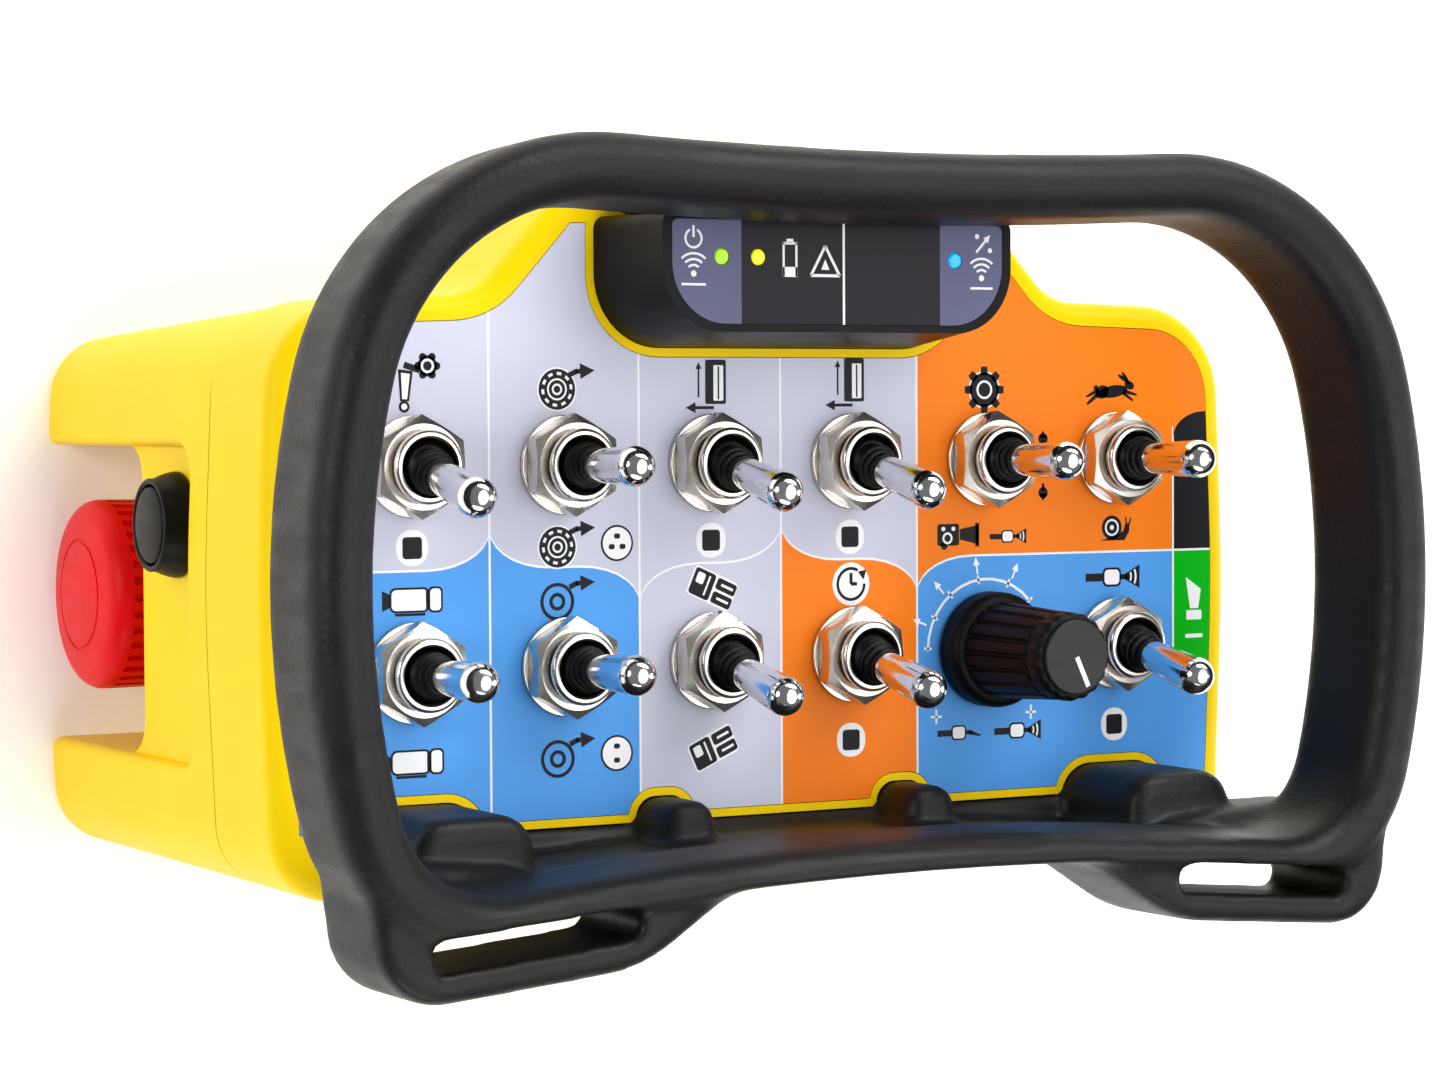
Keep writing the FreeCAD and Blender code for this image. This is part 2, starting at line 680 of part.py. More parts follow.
def rear_housing():
    """Rear shell with the side recesses, the rear channel, the battery bay and the screw columns."""
    front_z = -SEAM_DEPTH - GASKET_THICKNESS
    outer = rear_loft(0.0, front_z, -FOOT_DEPTH)
    outer = outer.makeFillet(REAR_EDGE_RADIUS, edges_at_z(outer, -FOOT_DEPTH))
    outer = outer.fuse(hump_fairing(0.0, front_z))
    rear_wall_z, bay_floor_z = battery_places()
    for side in (-1, 1):
        for tool in recess_tools(side):
            outer = outer.cut(tool)
    channel = flat_box(-STOP_POCKET_X - OVERCUT, STOP_POCKET_X + OVERCUT, RECESS_BOTTOM_Y, RECESS_TOP_Y,
                       -FOOT_DEPTH - OVERCUT, rear_wall_z)
    outer = outer.cut(channel)
    outer = outer.makeFillet(RECESS_EDGE, recess_mouth_edges(outer))
    cavity = rear_loft(WALL, front_z, -FOOT_DEPTH)
    cavity = cavity.fuse(hump_fairing(WALL, front_z))
    cavity = cavity.cut(flat_box(-2 * BODY_HALF_WIDTH, 2 * BODY_HALF_WIDTH, -2 * FOOT_DEPTH, 2 * FOOT_DEPTH,
                                 -2 * FOOT_DEPTH, rear_wall_z + WALL))
    bay = rounded_box(BATTERY_LENGTH / 2 + BATTERY_CLEARANCE,
                      battery_y() - BATTERY_WIDTH / 2 - BATTERY_CLEARANCE,
                      battery_y() + BATTERY_WIDTH / 2 + BATTERY_CLEARANCE,
                      BATTERY_RADIUS + BATTERY_CLEARANCE, rear_wall_z - OVERCUT, bay_floor_z)
    bay_wall = rounded_box(BATTERY_LENGTH / 2 + WALL, battery_y() - BATTERY_WIDTH / 2 - WALL,
                           battery_y() + BATTERY_WIDTH / 2 + WALL, BATTERY_RADIUS + WALL,
                           rear_wall_z - OVERCUT, bay_floor_z + WALL)
    cavity = cavity.cut(bay_wall)
    for side in (-1, 1):
        for tool in recess_tools(side, WALL):
            cavity = cavity.cut(tool)
    for x, y in housing_screw_places():
        cavity = cavity.cut(post(x, y, -FOOT_DEPTH, front_z, SCREW_COLUMN_DIAMETER))
    for x, y in board_post_places():
        cavity = cavity.cut(post(x, y, -FOOT_DEPTH, BOARD_Z - BOARD_THICKNESS, BOARD_POST_DIAMETER))
    shell = outer.cut(cavity).cut(bay)
    for x, y in housing_screw_places():
        well = post(x, y, -FOOT_DEPTH - OVERCUT, SCREW_WELL_Z, SCREW_HEAD_DIAMETER + 2 * SCREW_FIT)
        hole = post(x, y, SCREW_WELL_Z - OVERCUT, front_z + OVERCUT, SCREW_DIAMETER + 2 * SCREW_FIT)
        shell = shell.cut(well).cut(hole)
    stop_hole = post(0, 0, -STOP_TUBE_LENGTH, OVERCUT, STOP_TUBE_DIAMETER + 2 * STOP_CLEARANCE)
    shell = shell.cut(placed_along_x(stop_hole, STOP_Y, STOP_Z, STOP_POCKET_X))
    start_bore = START_TUBE_DIAMETER + 2 * START_CLEARANCE
    start_hole = post(0, 0, -START_TUBE_LENGTH - OVERCUT, OVERCUT, start_bore)
    shell = shell.cut(placed_along_x(start_hole, START_Y, START_Z, START_POCKET_X))
    return shell.removeSplitter()


def housing_gasket():
    """Flat seal between the two shells."""
    outer = body_outline().makeOffset2D(-GASKET_INSET)
    inner = body_outline().makeOffset2D(-GASKET_INSET - GASKET_WIDTH)
    ring = Part.Face(outer).cut(Part.Face(inner))
    return prism(ring.Faces[0], -SEAM_DEPTH - GASKET_THICKNESS, -SEAM_DEPTH)


def panel_hole_places():
    """Hole centres and diameters through the panel: the lever bushings and the potentiometer."""
    holes = [(x, y, BUSHING_DIAMETER) for x, y, _ in lever_places()]
    knob = knob_place()
    holes.append((knob.x, knob.y, POT_BUSHING_DIAMETER))
    return holes


def control_plate():
    """Stiff plate that carries the switches."""
    plate = prism(foil_face(), -FOIL_THICKNESS - PLATE_THICKNESS, -FOIL_THICKNESS)
    holes = [post(x, y, -FRONT_WALL, OVERCUT, d + 2 * THREAD_CLEARANCE) for x, y, d in panel_hole_places()]
    return plate.cut(holes[0].multiFuse(holes[1:]))


def panel_foil():
    """Printed foil on the plate."""
    foil = prism(foil_face(), -FOIL_THICKNESS, 0)
    holes = [post(x, y, -FRONT_WALL, OVERCUT, d + 2 * THREAD_CLEARANCE) for x, y, d in panel_hole_places()]
    return foil.cut(holes[0].multiFuse(holes[1:]))


# Guard frame

def circle_meet(first, first_radius, second, second_radius, side):
    """Point at given distances from two centres, on the left (1) or right (-1) of the line between them."""
    line = second.sub(first)
    distance = line.Length
    along = (first_radius ** 2 - second_radius ** 2 + distance ** 2) / (2 * distance)
    across = math.sqrt(first_radius ** 2 - along ** 2)
    line.normalize()
    normal = V(-line.y, line.x, 0)
    return first.add(line.multiply(along)).add(normal.multiply(side * across))


def towards(start, goal, distance):
    """Point at a distance from start in the direction of goal."""
    line = goal.sub(start)
    line.normalize()
    return start.add(line.multiply(distance))


def loop_points():
    """Centres and tangent points of the right half of the loop's centre line."""
    leg = V(LEG_X - LEG_BOW_RADIUS, LEG_WIDEST_Y, 0)
    top = V(0, FRAME_TOP_Y + FRAME_TOP_RADIUS, 0)
    bottom = V(0, FRAME_BOTTOM_Y - FRAME_BOTTOM_RADIUS, 0)
    upper = circle_meet(leg, LEG_BOW_RADIUS - FRAME_TOP_CORNER,
                        top, FRAME_TOP_RADIUS + FRAME_TOP_CORNER, -1)
    lower = circle_meet(leg, LEG_BOW_RADIUS - FRAME_BOTTOM_CORNER,
                        bottom, FRAME_BOTTOM_RADIUS + FRAME_BOTTOM_CORNER, 1)
    return {
        "leg": leg,
        "upper": upper,
        "lower": lower,
        "top_middle": V(0, FRAME_TOP_Y, 0),
        "top_end": towards(top, upper, FRAME_TOP_RADIUS),
        "leg_top": towards(leg, upper, LEG_BOW_RADIUS),
        "leg_bottom": towards(leg, lower, LEG_BOW_RADIUS),
        "bottom_end": towards(bottom, lower, FRAME_BOTTOM_RADIUS),
        "bottom_middle": V(0, FRAME_BOTTOM_Y, 0),
        "top": top,
        "bottom": bottom,
    }


def arc_about(centre, start, end):
    """Shorter circular arc from start to end about a centre."""
    radius = start.sub(centre).Length
    chord_middle = start.add(end).multiply(0.5)
    return Part.Arc(start, towards(centre, chord_middle, radius), end).toShape()


def loop_half():
    """Right half of the loop's centre line, from top middle to bottom middle."""
    p = loop_points()
    return [
        arc_about(p["top"], p["top_middle"], p["top_end"]),
        arc_about(p["upper"], p["top_end"], p["leg_top"]),
        arc_about(p["leg"], p["leg_top"], p["leg_bottom"]),
        arc_about(p["lower"], p["leg_bottom"], p["bottom_end"]),
        arc_about(p["bottom"], p["bottom_end"], p["bottom_middle"]),
    ]


def loop_section():
    """Full-round section of the loop at its top middle, flared outwards to the front."""
    radius = FRAME_BAR / 2
    front = V(0, FRAME_TOP_Y + FRAME_FLARE / 2, FRAME_FRONT_Z - radius)
    rear = V(0, FRAME_TOP_Y - FRAME_FLARE / 2, FRAME_REAR_Z + radius)
    axis = front.sub(rear)
    axis.normalize()
    across = V(0, axis.z, -axis.y).multiply(radius)
    outer_front = front.add(across)
    inner_front = front.sub(across)
    inner_rear = rear.sub(across)
    outer_rear = rear.add(across)
    nose = front.add(V(axis).multiply(radius))
    tail = rear.sub(V(axis).multiply(radius))
    return Part.Wire([
        Part.Arc(outer_front, nose, inner_front).toShape(),
        Part.LineSegment(inner_front, inner_rear).toShape(),
        Part.Arc(inner_rear, tail, outer_rear).toShape(),
        Part.LineSegment(outer_rear, outer_front).toShape(),
    ])


def loop_half_solid():
    """Right half of the round loop swept along its centre line."""
    sweep = Part.BRepOffsetAPI.MakePipeShell(Part.Wire(loop_half()))
    sweep.setBiNormalMode(Z_DIR)
    sweep.add(loop_section())
    sweep.build()
    sweep.makeSolid()
    return sweep.shape()


def arch_face(top_offset, bottom_offset, half_width):
    """Face between two arcs that run parallel to the frame's bottom centre line."""
    def arc_points(offset):
        centre = V(0, FRAME_BOTTOM_Y - FRAME_BOTTOM_RADIUS, 0)
        radius = FRAME_BOTTOM_RADIUS + offset
        end_y = centre.y + math.sqrt(radius ** 2 - half_width ** 2)
        return V(-half_width, end_y, 0), V(0, centre.y + radius, 0), V(half_width, end_y, 0)
    left_top, mid_top, right_top = arc_points(top_offset)
    left_low, mid_low, right_low = arc_points(bottom_offset)
    return Part.Face(Part.Wire([
        Part.Arc(left_top, mid_top, right_top).toShape(),
        Part.LineSegment(right_top, right_low).toShape(),
        Part.Arc(right_low, mid_low, left_low).toShape(),
        Part.LineSegment(left_low, left_top).toShape(),
    ]))


def belt_slot(low_z, high_z):
    """Slot for a belt through the right tab."""
    half_length = SLOT_LENGTH / 2
    half_height = SLOT_HEIGHT / 2
    corners = [
        (half_length, half_height, SLOT_RADIUS),
        (half_length, -half_height, SLOT_RADIUS),
        (-half_length, -half_height, SLOT_RADIUS),
        (-half_length, half_height, SLOT_RADIUS),
    ]
    slot = prism(rounded_outline(corners), low_z, high_z)
    slot.rotate(ORIGIN, Z_DIR, SLOT_TILT)
    slot.translate(V(SLOT_X, SLOT_Y, 0))
    return slot


def belt_tab():
    """Right tab below the loop, before its slot is cut."""
    p = loop_points()
    leg_end = p["leg_bottom"]
    bar_end = p["bottom_end"]
    corner_middle = towards(p["lower"], leg_end.add(bar_end).multiply(0.5), FRAME_BOTTOM_CORNER)
    bar_centre_y = FRAME_BOTTOM_Y - FRAME_BOTTOM_RADIUS
    root_y = bar_centre_y + math.sqrt(FRAME_BOTTOM_RADIUS ** 2 - TAB_ROOT_X ** 2)
    inner_x = TAB_ROOT_X - TAB_ROOT_OVERLAP
    inner_y = bar_centre_y + math.sqrt(FRAME_BOTTOM_RADIUS ** 2 - inner_x ** 2)
    corners = [
        (leg_end.x + FRAME_BAR / 2 - TAB_SIDE_INSET, leg_end.y, 0.0),
        (TAB_END_X, TAB_END_Y, TAB_END_RADIUS),
        (TAB_KNEE_X, TAB_KNEE_Y, TAB_KNEE_RADIUS),
        (TAB_ROOT_X, root_y, TAB_ROOT_RADIUS),
        (inner_x, inner_y, 0.0),
        (inner_x, inner_y + FRAME_BAR / 2 - TAB_ROOT_DROP, 0.0),
        (bar_end.x, bar_end.y + DECK_DROP, 0.0),
        (corner_middle.x, corner_middle.y, 0.0),
        (leg_end.x, leg_end.y, 0.0),
    ]
    tab = prism(rounded_outline(corners), TAB_REAR_Z, TAB_FRONT_Z)
    low_edges = []
    for edge in edges_at_z(tab, TAB_FRONT_Z) + edges_at_z(tab, TAB_REAR_Z):
        if edge.BoundBox.YMax < root_y - TAB_EDGE:
            low_edges.append(edge)
    return tab.makeFillet(TAB_EDGE, low_edges)


def under_deck(low_z):
    """Space below the deck, from a height up to the front of the loop."""
    return prism(arch_face(deck_underside(), -2 * FRAME_BAR, RAMP_END_X + FRAME_BAR), low_z, FRAME_FRONT_Z)


def frame_boss(x, half_width, top_y, radius, front_z):
    """One rounded boss that stands on the deck against the housing."""
    boss = prism(boss_outline(x, half_width, top_y, radius, 0.0), FLANGE_REAR_Z, front_z)
    edges = [e for e in edges_at_z(boss, front_z) if e.CenterOfMass.y > BODY_BOTTOM_Y + BOSS_EDGE]
    return boss.makeFillet(BOSS_EDGE, edges).cut(under_deck(FLANGE_FRONT_Z))


def deck_underside():
    """Height of the deck's underside above the bottom centre line of the loop."""
    return FRAME_BAR / 2 - DECK_DROP - DECK_THICKNESS


def leaned(shape):
    """Leans a piece of the loop so that its lower side comes forward."""
    shape.rotate(V(0, FRAME_LEAN_Y, (FRAME_FRONT_Z + FRAME_REAR_Z) / 2), X_DIR, FRAME_LEAN)
    return shape


def corner_ramp():
    """Raised web in the lower right corner from the deck to the leg, hollowed behind the leg."""
    foot_y = FRAME_BOTTOM_Y - FRAME_BAR / 2
    outline = rounded_outline([
        (RAMP_KNEE_X, RAMP_KNEE_Y, BOSS_EDGE),
        (RAMP_END_X, RAMP_END_Y, 0.0),
        (RAMP_END_X, foot_y, 0.0),
        (RAMP_FOOT_X, foot_y, 0.0),
        (RAMP_FOOT_X, FRAME_BOTTOM_Y, 0.0),
    ])
    ramp = prism(outline, RAMP_REAR_Z, RAMP_FRONT_Z)
    edges = [e for e in edges_at_z(ramp, RAMP_FRONT_Z) if e.BoundBox.YMin > FRAME_BOTTOM_Y - RAMP_EDGE / 2]
    ramp = ramp.makeFillet(RAMP_EDGE, edges)
    centre = V(RAMP_END_X + FRAME_BAR / 2, foot_y - FRAME_BAR, DECK_REAR_Z)
    ramp = ramp.cut(Part.makeCylinder(RAMP_HOLLOW_RADIUS, 3 * FRAME_BAR, centre, Y_DIR))
    return ramp.cut(under_deck(DECK_REAR_Z))


def guard_frame():
    """Guard frame: the round loop, the deck with its flange and bosses, the belt tabs and the neck."""
    right = loop_half_solid()
    under = prism(arch_face(0.0, -4 * FRAME_BAR, loop_points()["bottom_end"].x), 0, 2 * FRAME_FRONT_Z)
    right = leaned(right.cut(under).fuse(belt_tab()))
    right = right.fuse(corner_ramp())
    right = right.cut(leaned(belt_slot(DECK_REAR_Z, 2 * FRAME_FRONT_Z)))
    left = right.mirror(ORIGIN, X_DIR)
    deck = arch_face(FRAME_BAR / 2 - DECK_DROP, deck_underside(), DECK_HALF_WIDTH)
    deck = prism(deck, DECK_REAR_Z, DECK_FRONT_Z)
    flange = flange_block(0.0, FLANGE_REAR_Z, FLANGE_FRONT_Z)
    bosses = [frame_boss(*size) for size in boss_sizes()]
    neck = rounded_box(NECK_HALF_WIDTH, NECK_BOTTOM_Y, NECK_TOP_Y, (NECK_TOP_Y - NECK_BOTTOM_Y) / 4,
                       NECK_REAR_Z, (FRAME_REAR_Z + FRAME_FRONT_Z) / 2)
    frame = fused([right, left, deck, flange, neck] + bosses)
    for x, y, head_z in frame_screw_places():
        hole_end = head_z + FRAME_SCREW_LENGTH + OVERCUT
        hole = post(x, y, FLANGE_REAR_Z - OVERCUT, hole_end, SCREW_DIAMETER - 2 * SCREW_FIT)
        frame = frame.cut(hole)
    return frame


def frame_screw_places():
    """Screws that hold the frame, as (x, y, head seat): one in each boss and two in the neck."""
    floor_z = FLANGE_REAR_Z - FLANGE_CLEARANCE - WALL
    lower = [(size[0], FRAME_SCREW_Y, floor_z) for size in boss_sizes()]
    upper = [(x, NECK_SCREW_Y, -FRONT_WALL) for x in (-NECK_SCREW_X, NECK_SCREW_X)]
    return lower + upper


# Display

def display_pod():
    """Hollow display housing with a seat for the window."""
    base = pod_outline(0.0)
    front = pod_outline(0.0, POD_TAPER)
    front.translate(V(0, 0, POD_FRONT_Z))
    pod = Part.makeLoft([base, front], True, True)
    stem = prism(pod_outline(0.0), POD_REAR_Z, 0)
    flange = prism(pod_outline(POD_FLANGE, top_grow=0.0), POD_REAR_Z, -FRONT_WALL)
    pod = fused([pod, stem, flange])
    floor_z = POD_FRONT_Z - WINDOW_THICKNESS - POD_WALL
    inner = pod_outline(-POD_WALL - POD_TAPER / 2)
    cavity = prism(inner, POD_REAR_Z - OVERCUT, floor_z)
    seat_z = POD_FRONT_Z - WINDOW_THICKNESS
    seat = prism(window_outline(WINDOW_CLEARANCE), seat_z, POD_FRONT_Z + OVERCUT)
    pod = pod.cut(cavity).cut(seat)
    for x in LAMP_X.values():
        pod = pod.cut(post(x, LAMP_Y, 0, POD_FRONT_Z + OVERCUT, LAMP_DIAMETER + 2 * LAMP_CLEARANCE))
    return pod


def display_window():
    """Flat window with a hole for each lamp."""
    window = prism(window_outline(0.0), POD_FRONT_Z - WINDOW_THICKNESS, POD_FRONT_Z)
    for x in LAMP_X.values():
        window = window.cut(post(x, LAMP_Y, 0, POD_FRONT_Z + OVERCUT, LAMP_DIAMETER + 2 * LAMP_CLEARANCE))
    return window


def lamp(x):
    """Round lamp with a slightly domed end that stands on the display board."""
    top = POD_FRONT_Z + LAMP_PROUD
    radius = LAMP_DIAMETER / 2
    shape = post(x, LAMP_Y, top - LAMP_LENGTH, top, LAMP_DIAMETER)
    return shape.makeFillet(radius / 3, edges_at_z(shape, top))


def display_board():
    """Small board in the pod that carries the lamps."""
    top = POD_FRONT_Z + LAMP_PROUD - LAMP_LENGTH
    inner = pod_outline(-POD_WALL - POD_TAPER / 2 - LAMP_CLEARANCE)
    return prism(inner, top - DISPLAY_BOARD_THICKNESS, top)


# Toggle switches

def toggle_washer():
    """Flat washer on the foil."""
    washer = post(0, 0, 0, WASHER_THICKNESS, WASHER_DIAMETER)
    bore = BUSHING_DIAMETER + 2 * THREAD_CLEARANCE
    return washer.cut(post(0, 0, -OVERCUT, WASHER_THICKNESS + OVERCUT, bore))


def chamfered_hexagon(across_flats, z0, z1, bore):
    """Hexagon nut whose upper corners are turned off by a cone."""
    nut = hexagon(across_flats, z0, z1)
    corner = across_flats / math.sqrt(3)
    rise = (corner - across_flats / 2) / 2
    wide = corner + rise
    cone = revolved([(0, z0), (wide, z0), (wide, z1 - 2 * rise), (across_flats / 2, z1), (0, z1)])
    return nut.common(cone).cut(post(0, 0, z0 - OVERCUT, z1 + OVERCUT, bore))


def toggle_nut():
    """Hexagon nut above the washer."""
    low = WASHER_THICKNESS
    bore = BUSHING_DIAMETER + 2 * THREAD_CLEARANCE
    return chamfered_hexagon(NUT_ACROSS_FLATS, low, low + NUT_THICKNESS, bore)


def toggle_bushing():
    """Bushing tube with a rolled head above the nut."""
    outer = BUSHING_DIAMETER / 2
    bore = BUSHING_BORE / 2
    head = BUSHING_HEAD_DIAMETER / 2
    head_z = BUSHING_TOP_Z - BUSHING_HEAD
    edge = BUSHING_HEAD / 2
    low = -FOIL_THICKNESS - PLATE_THICKNESS
    return revolved([
        (bore, low), (outer, low), (outer, head_z), (head, head_z),
        (head, BUSHING_TOP_Z - edge), (head - edge, BUSHING_TOP_Z), (bore, BUSHING_TOP_Z),
    ])


def toggle_case():
    """Switch body under the plate with three solder tags."""
    top = -FOIL_THICKNESS - PLATE_THICKNESS
    half_x = CASE_WIDTH / 2
    half_y = CASE_LENGTH / 2
    case = rounded_box(half_x, -half_y, half_y, CASE_RADIUS, top - CASE_DEPTH, top)
    tags = []
    for y in (-half_y / 2, 0.0, half_y / 2):
        tags.append(flat_box(-TAG_WIDTH / 2, TAG_WIDTH / 2, y - TAG_THICKNESS / 2, y + TAG_THICKNESS / 2,
                             top - CASE_DEPTH - TAG_LENGTH, top - CASE_DEPTH))
    return fused([case] + tags)


def pivot_pin():
    """Round pin across the lever root, on the axis that the lever tilts about."""
    end = V(-PIVOT_PIN_LENGTH / 2, 0, PIVOT_Z)
    return Part.makeCylinder(PIVOT_PIN_DIAMETER / 2, PIVOT_PIN_LENGTH, end, X_DIR)


def toggle_lever():
    """Lever from its pivot pin in the bushing to its rounded tip, upright."""
    shaft = Part.makeCone(LEVER_ROOT_RADIUS, LEVER_TIP_RADIUS, LEVER_TIP_Z - LEVER_TIP_RADIUS - BOOT_TOP_Z,
                          V(0, 0, BOOT_TOP_Z))
    tip = Part.makeSphere(LEVER_TIP_RADIUS, V(0, 0, LEVER_TIP_Z - LEVER_TIP_RADIUS))
    core = post(0, 0, PIVOT_Z, BOOT_TOP_Z, 2 * LEVER_NECK_RADIUS)
    return fused([shaft, tip, core, pivot_pin()])


def toggle_boot():
    """Stepped rubber boot round the lever root, spherical about the pivot where it moves in the bushing."""
    ball = Part.makeSphere(BOOT_RADIUS, V(0, 0, PIVOT_Z))
    step_low = BOOT_STEP_Z - OVERCUT
    step = Part.makeCone(BOOT_STEP_RADIUS, BOOT_NECK_RADIUS, BOOT_NECK_Z - step_low, V(0, 0, step_low))
    neck = post(0, 0, BOOT_NECK_Z, BOOT_TOP_Z, 2 * BOOT_NECK_RADIUS)
    boot = fused([ball, step, neck])
    boot = boot.cut(post(0, 0, PIVOT_Z, BOOT_TOP_Z + OVERCUT, 2 * LEVER_NECK_RADIUS))
    return boot.cut(pivot_pin())


def at_levers(shape):
    """Copies of one fixed switch piece at every lever place, as one group of solids."""
    copies = []
    for x, y, _ in lever_places():
        copy = shape.copy()
        copy.translate(V(x, y, 0))
        copies.append(copy)
    return Part.makeCompound(copies)


def at_lever(shape, place):
    """Copy of one moving switch piece at a lever place, tilted if that lever rests down."""
    x, y, tilted = place
    copy = shape.copy()
    if tilted:
        copy.rotate(V(0, 0, PIVOT_Z), X_DIR, LEVER_TILT)
    copy.translate(V(x, y, 0))
    return copy


# Speed knob

def knob_body():
    """Knob with a round flange and a ribbed, tapered grip, hollow below over the potentiometer nut."""
    flange_r = KNOB_FLANGE_DIAMETER / 2
    low = KNOB_GAP
    flange_z = low + KNOB_FLANGE_HEIGHT
    edge = KNOB_FLANGE_HEIGHT / 3
    shape = revolved([
        (0, low), (flange_r, low), (flange_r, flange_z - edge), (flange_r - edge, flange_z),
        (KNOB_BODY_DIAMETER / 2, flange_z), (KNOB_TOP_DIAMETER / 2, KNOB_TOP_Z), (0, KNOB_TOP_Z),
    ])
    lean = math.degrees(math.atan2((KNOB_BODY_DIAMETER - KNOB_TOP_DIAMETER) / 2, KNOB_TOP_Z - flange_z))
    ribs = []
    for k in range(KNOB_RIBS):
        rib = flat_box(-KNOB_RIB_DEPTH, KNOB_RIB_DEPTH, -KNOB_RIB_WIDTH / 2, KNOB_RIB_WIDTH / 2,
                       0, KNOB_TOP_Z - flange_z - KNOB_CAP_HEIGHT / 2)
        rib.rotate(ORIGIN, Y_DIR, -lean)
        rib.translate(V(KNOB_BODY_DIAMETER / 2, 0, flange_z))
        rib.rotate(ORIGIN, Z_DIR, 360 * k / KNOB_RIBS)
        ribs.append(rib)
    shape = fused([shape] + ribs)
    shape = shape.cut(post(0, 0, low - OVERCUT, low + KNOB_HOLLOW_HEIGHT, KNOB_HOLLOW_DIAMETER))
    shape = shape.cut(post(0, 0, low, POT_SHAFT_TOP_Z, POT_SHAFT_DIAMETER))
    shape = shape.cut(post(0, 0, KNOB_TOP_Z - KNOB_CAP_SEAT, KNOB_TOP_Z + OVERCUT, KNOB_CAP_DIAMETER))
    shape.translate(knob_place())
    return shape


def pointer_block(low_z, high_z):
    """Bar from the knob's centre to the edge of its cap, at the pointer's angle."""
    bar = flat_box(0, POINTER_LENGTH, -POINTER_WIDTH / 2, POINTER_WIDTH / 2, low_z, high_z)
    bar.rotate(ORIGIN, Z_DIR, POINTER_ANGLE)
    bar.translate(knob_place())
    return bar


def knob_cap():
    """Flat cap in the knob's top with a groove for the pointer."""
    top = KNOB_TOP_Z + KNOB_CAP_HEIGHT
    cap = post(0, 0, KNOB_TOP_Z - KNOB_CAP_SEAT, top, KNOB_CAP_DIAMETER)
    cap = cap.makeFillet(KNOB_CAP_HEIGHT / 3, edges_at_z(cap, top))
    cap.translate(knob_place())
    return cap.cut(pointer_block(top - POINTER_INLAY, top + POINTER_INLAY))


def knob_pointer():
    """White pointer line let into the cap."""
    top = KNOB_TOP_Z + KNOB_CAP_HEIGHT
    return pointer_block(top - POINTER_INLAY, top)


def potentiometer():
    """Potentiometer body under the plate with its bushing through the panel."""
    top = -FOIL_THICKNESS - PLATE_THICKNESS
    case = post(0, 0, top - POT_CASE_DEPTH, top, POT_CASE_DIAMETER)
    bushing = post(0, 0, top, POT_BUSHING_TOP_Z, POT_BUSHING_DIAMETER)
    shape = fused([case, bushing])
    shape = shape.cut(post(0, 0, top - POT_CASE_DEPTH / 2, POT_BUSHING_TOP_Z + OVERCUT,
                           POT_SHAFT_DIAMETER + 2 * SHAFT_CLEARANCE))
    shape.translate(knob_place())
    return shape


def potentiometer_shaft():
    """Turning shaft that carries the knob."""
    top = -FOIL_THICKNESS - PLATE_THICKNESS
    shaft = post(0, 0, top - POT_CASE_DEPTH / 2 + SHAFT_CLEARANCE, POT_SHAFT_TOP_Z, POT_SHAFT_DIAMETER)
    shaft.translate(knob_place())
    return shaft


def potentiometer_nut():
    """Thin nut on the potentiometer bushing, inside the knob's hollow."""
    bore = POT_BUSHING_DIAMETER + 2 * THREAD_CLEARANCE
    nut = chamfered_hexagon(POT_NUT_ACROSS_FLATS, 0, POT_NUT_THICKNESS, bore)
    nut.translate(knob_place())
    return nut


# Stop button, built along Z with its face at z = 0 and turned into the left recess

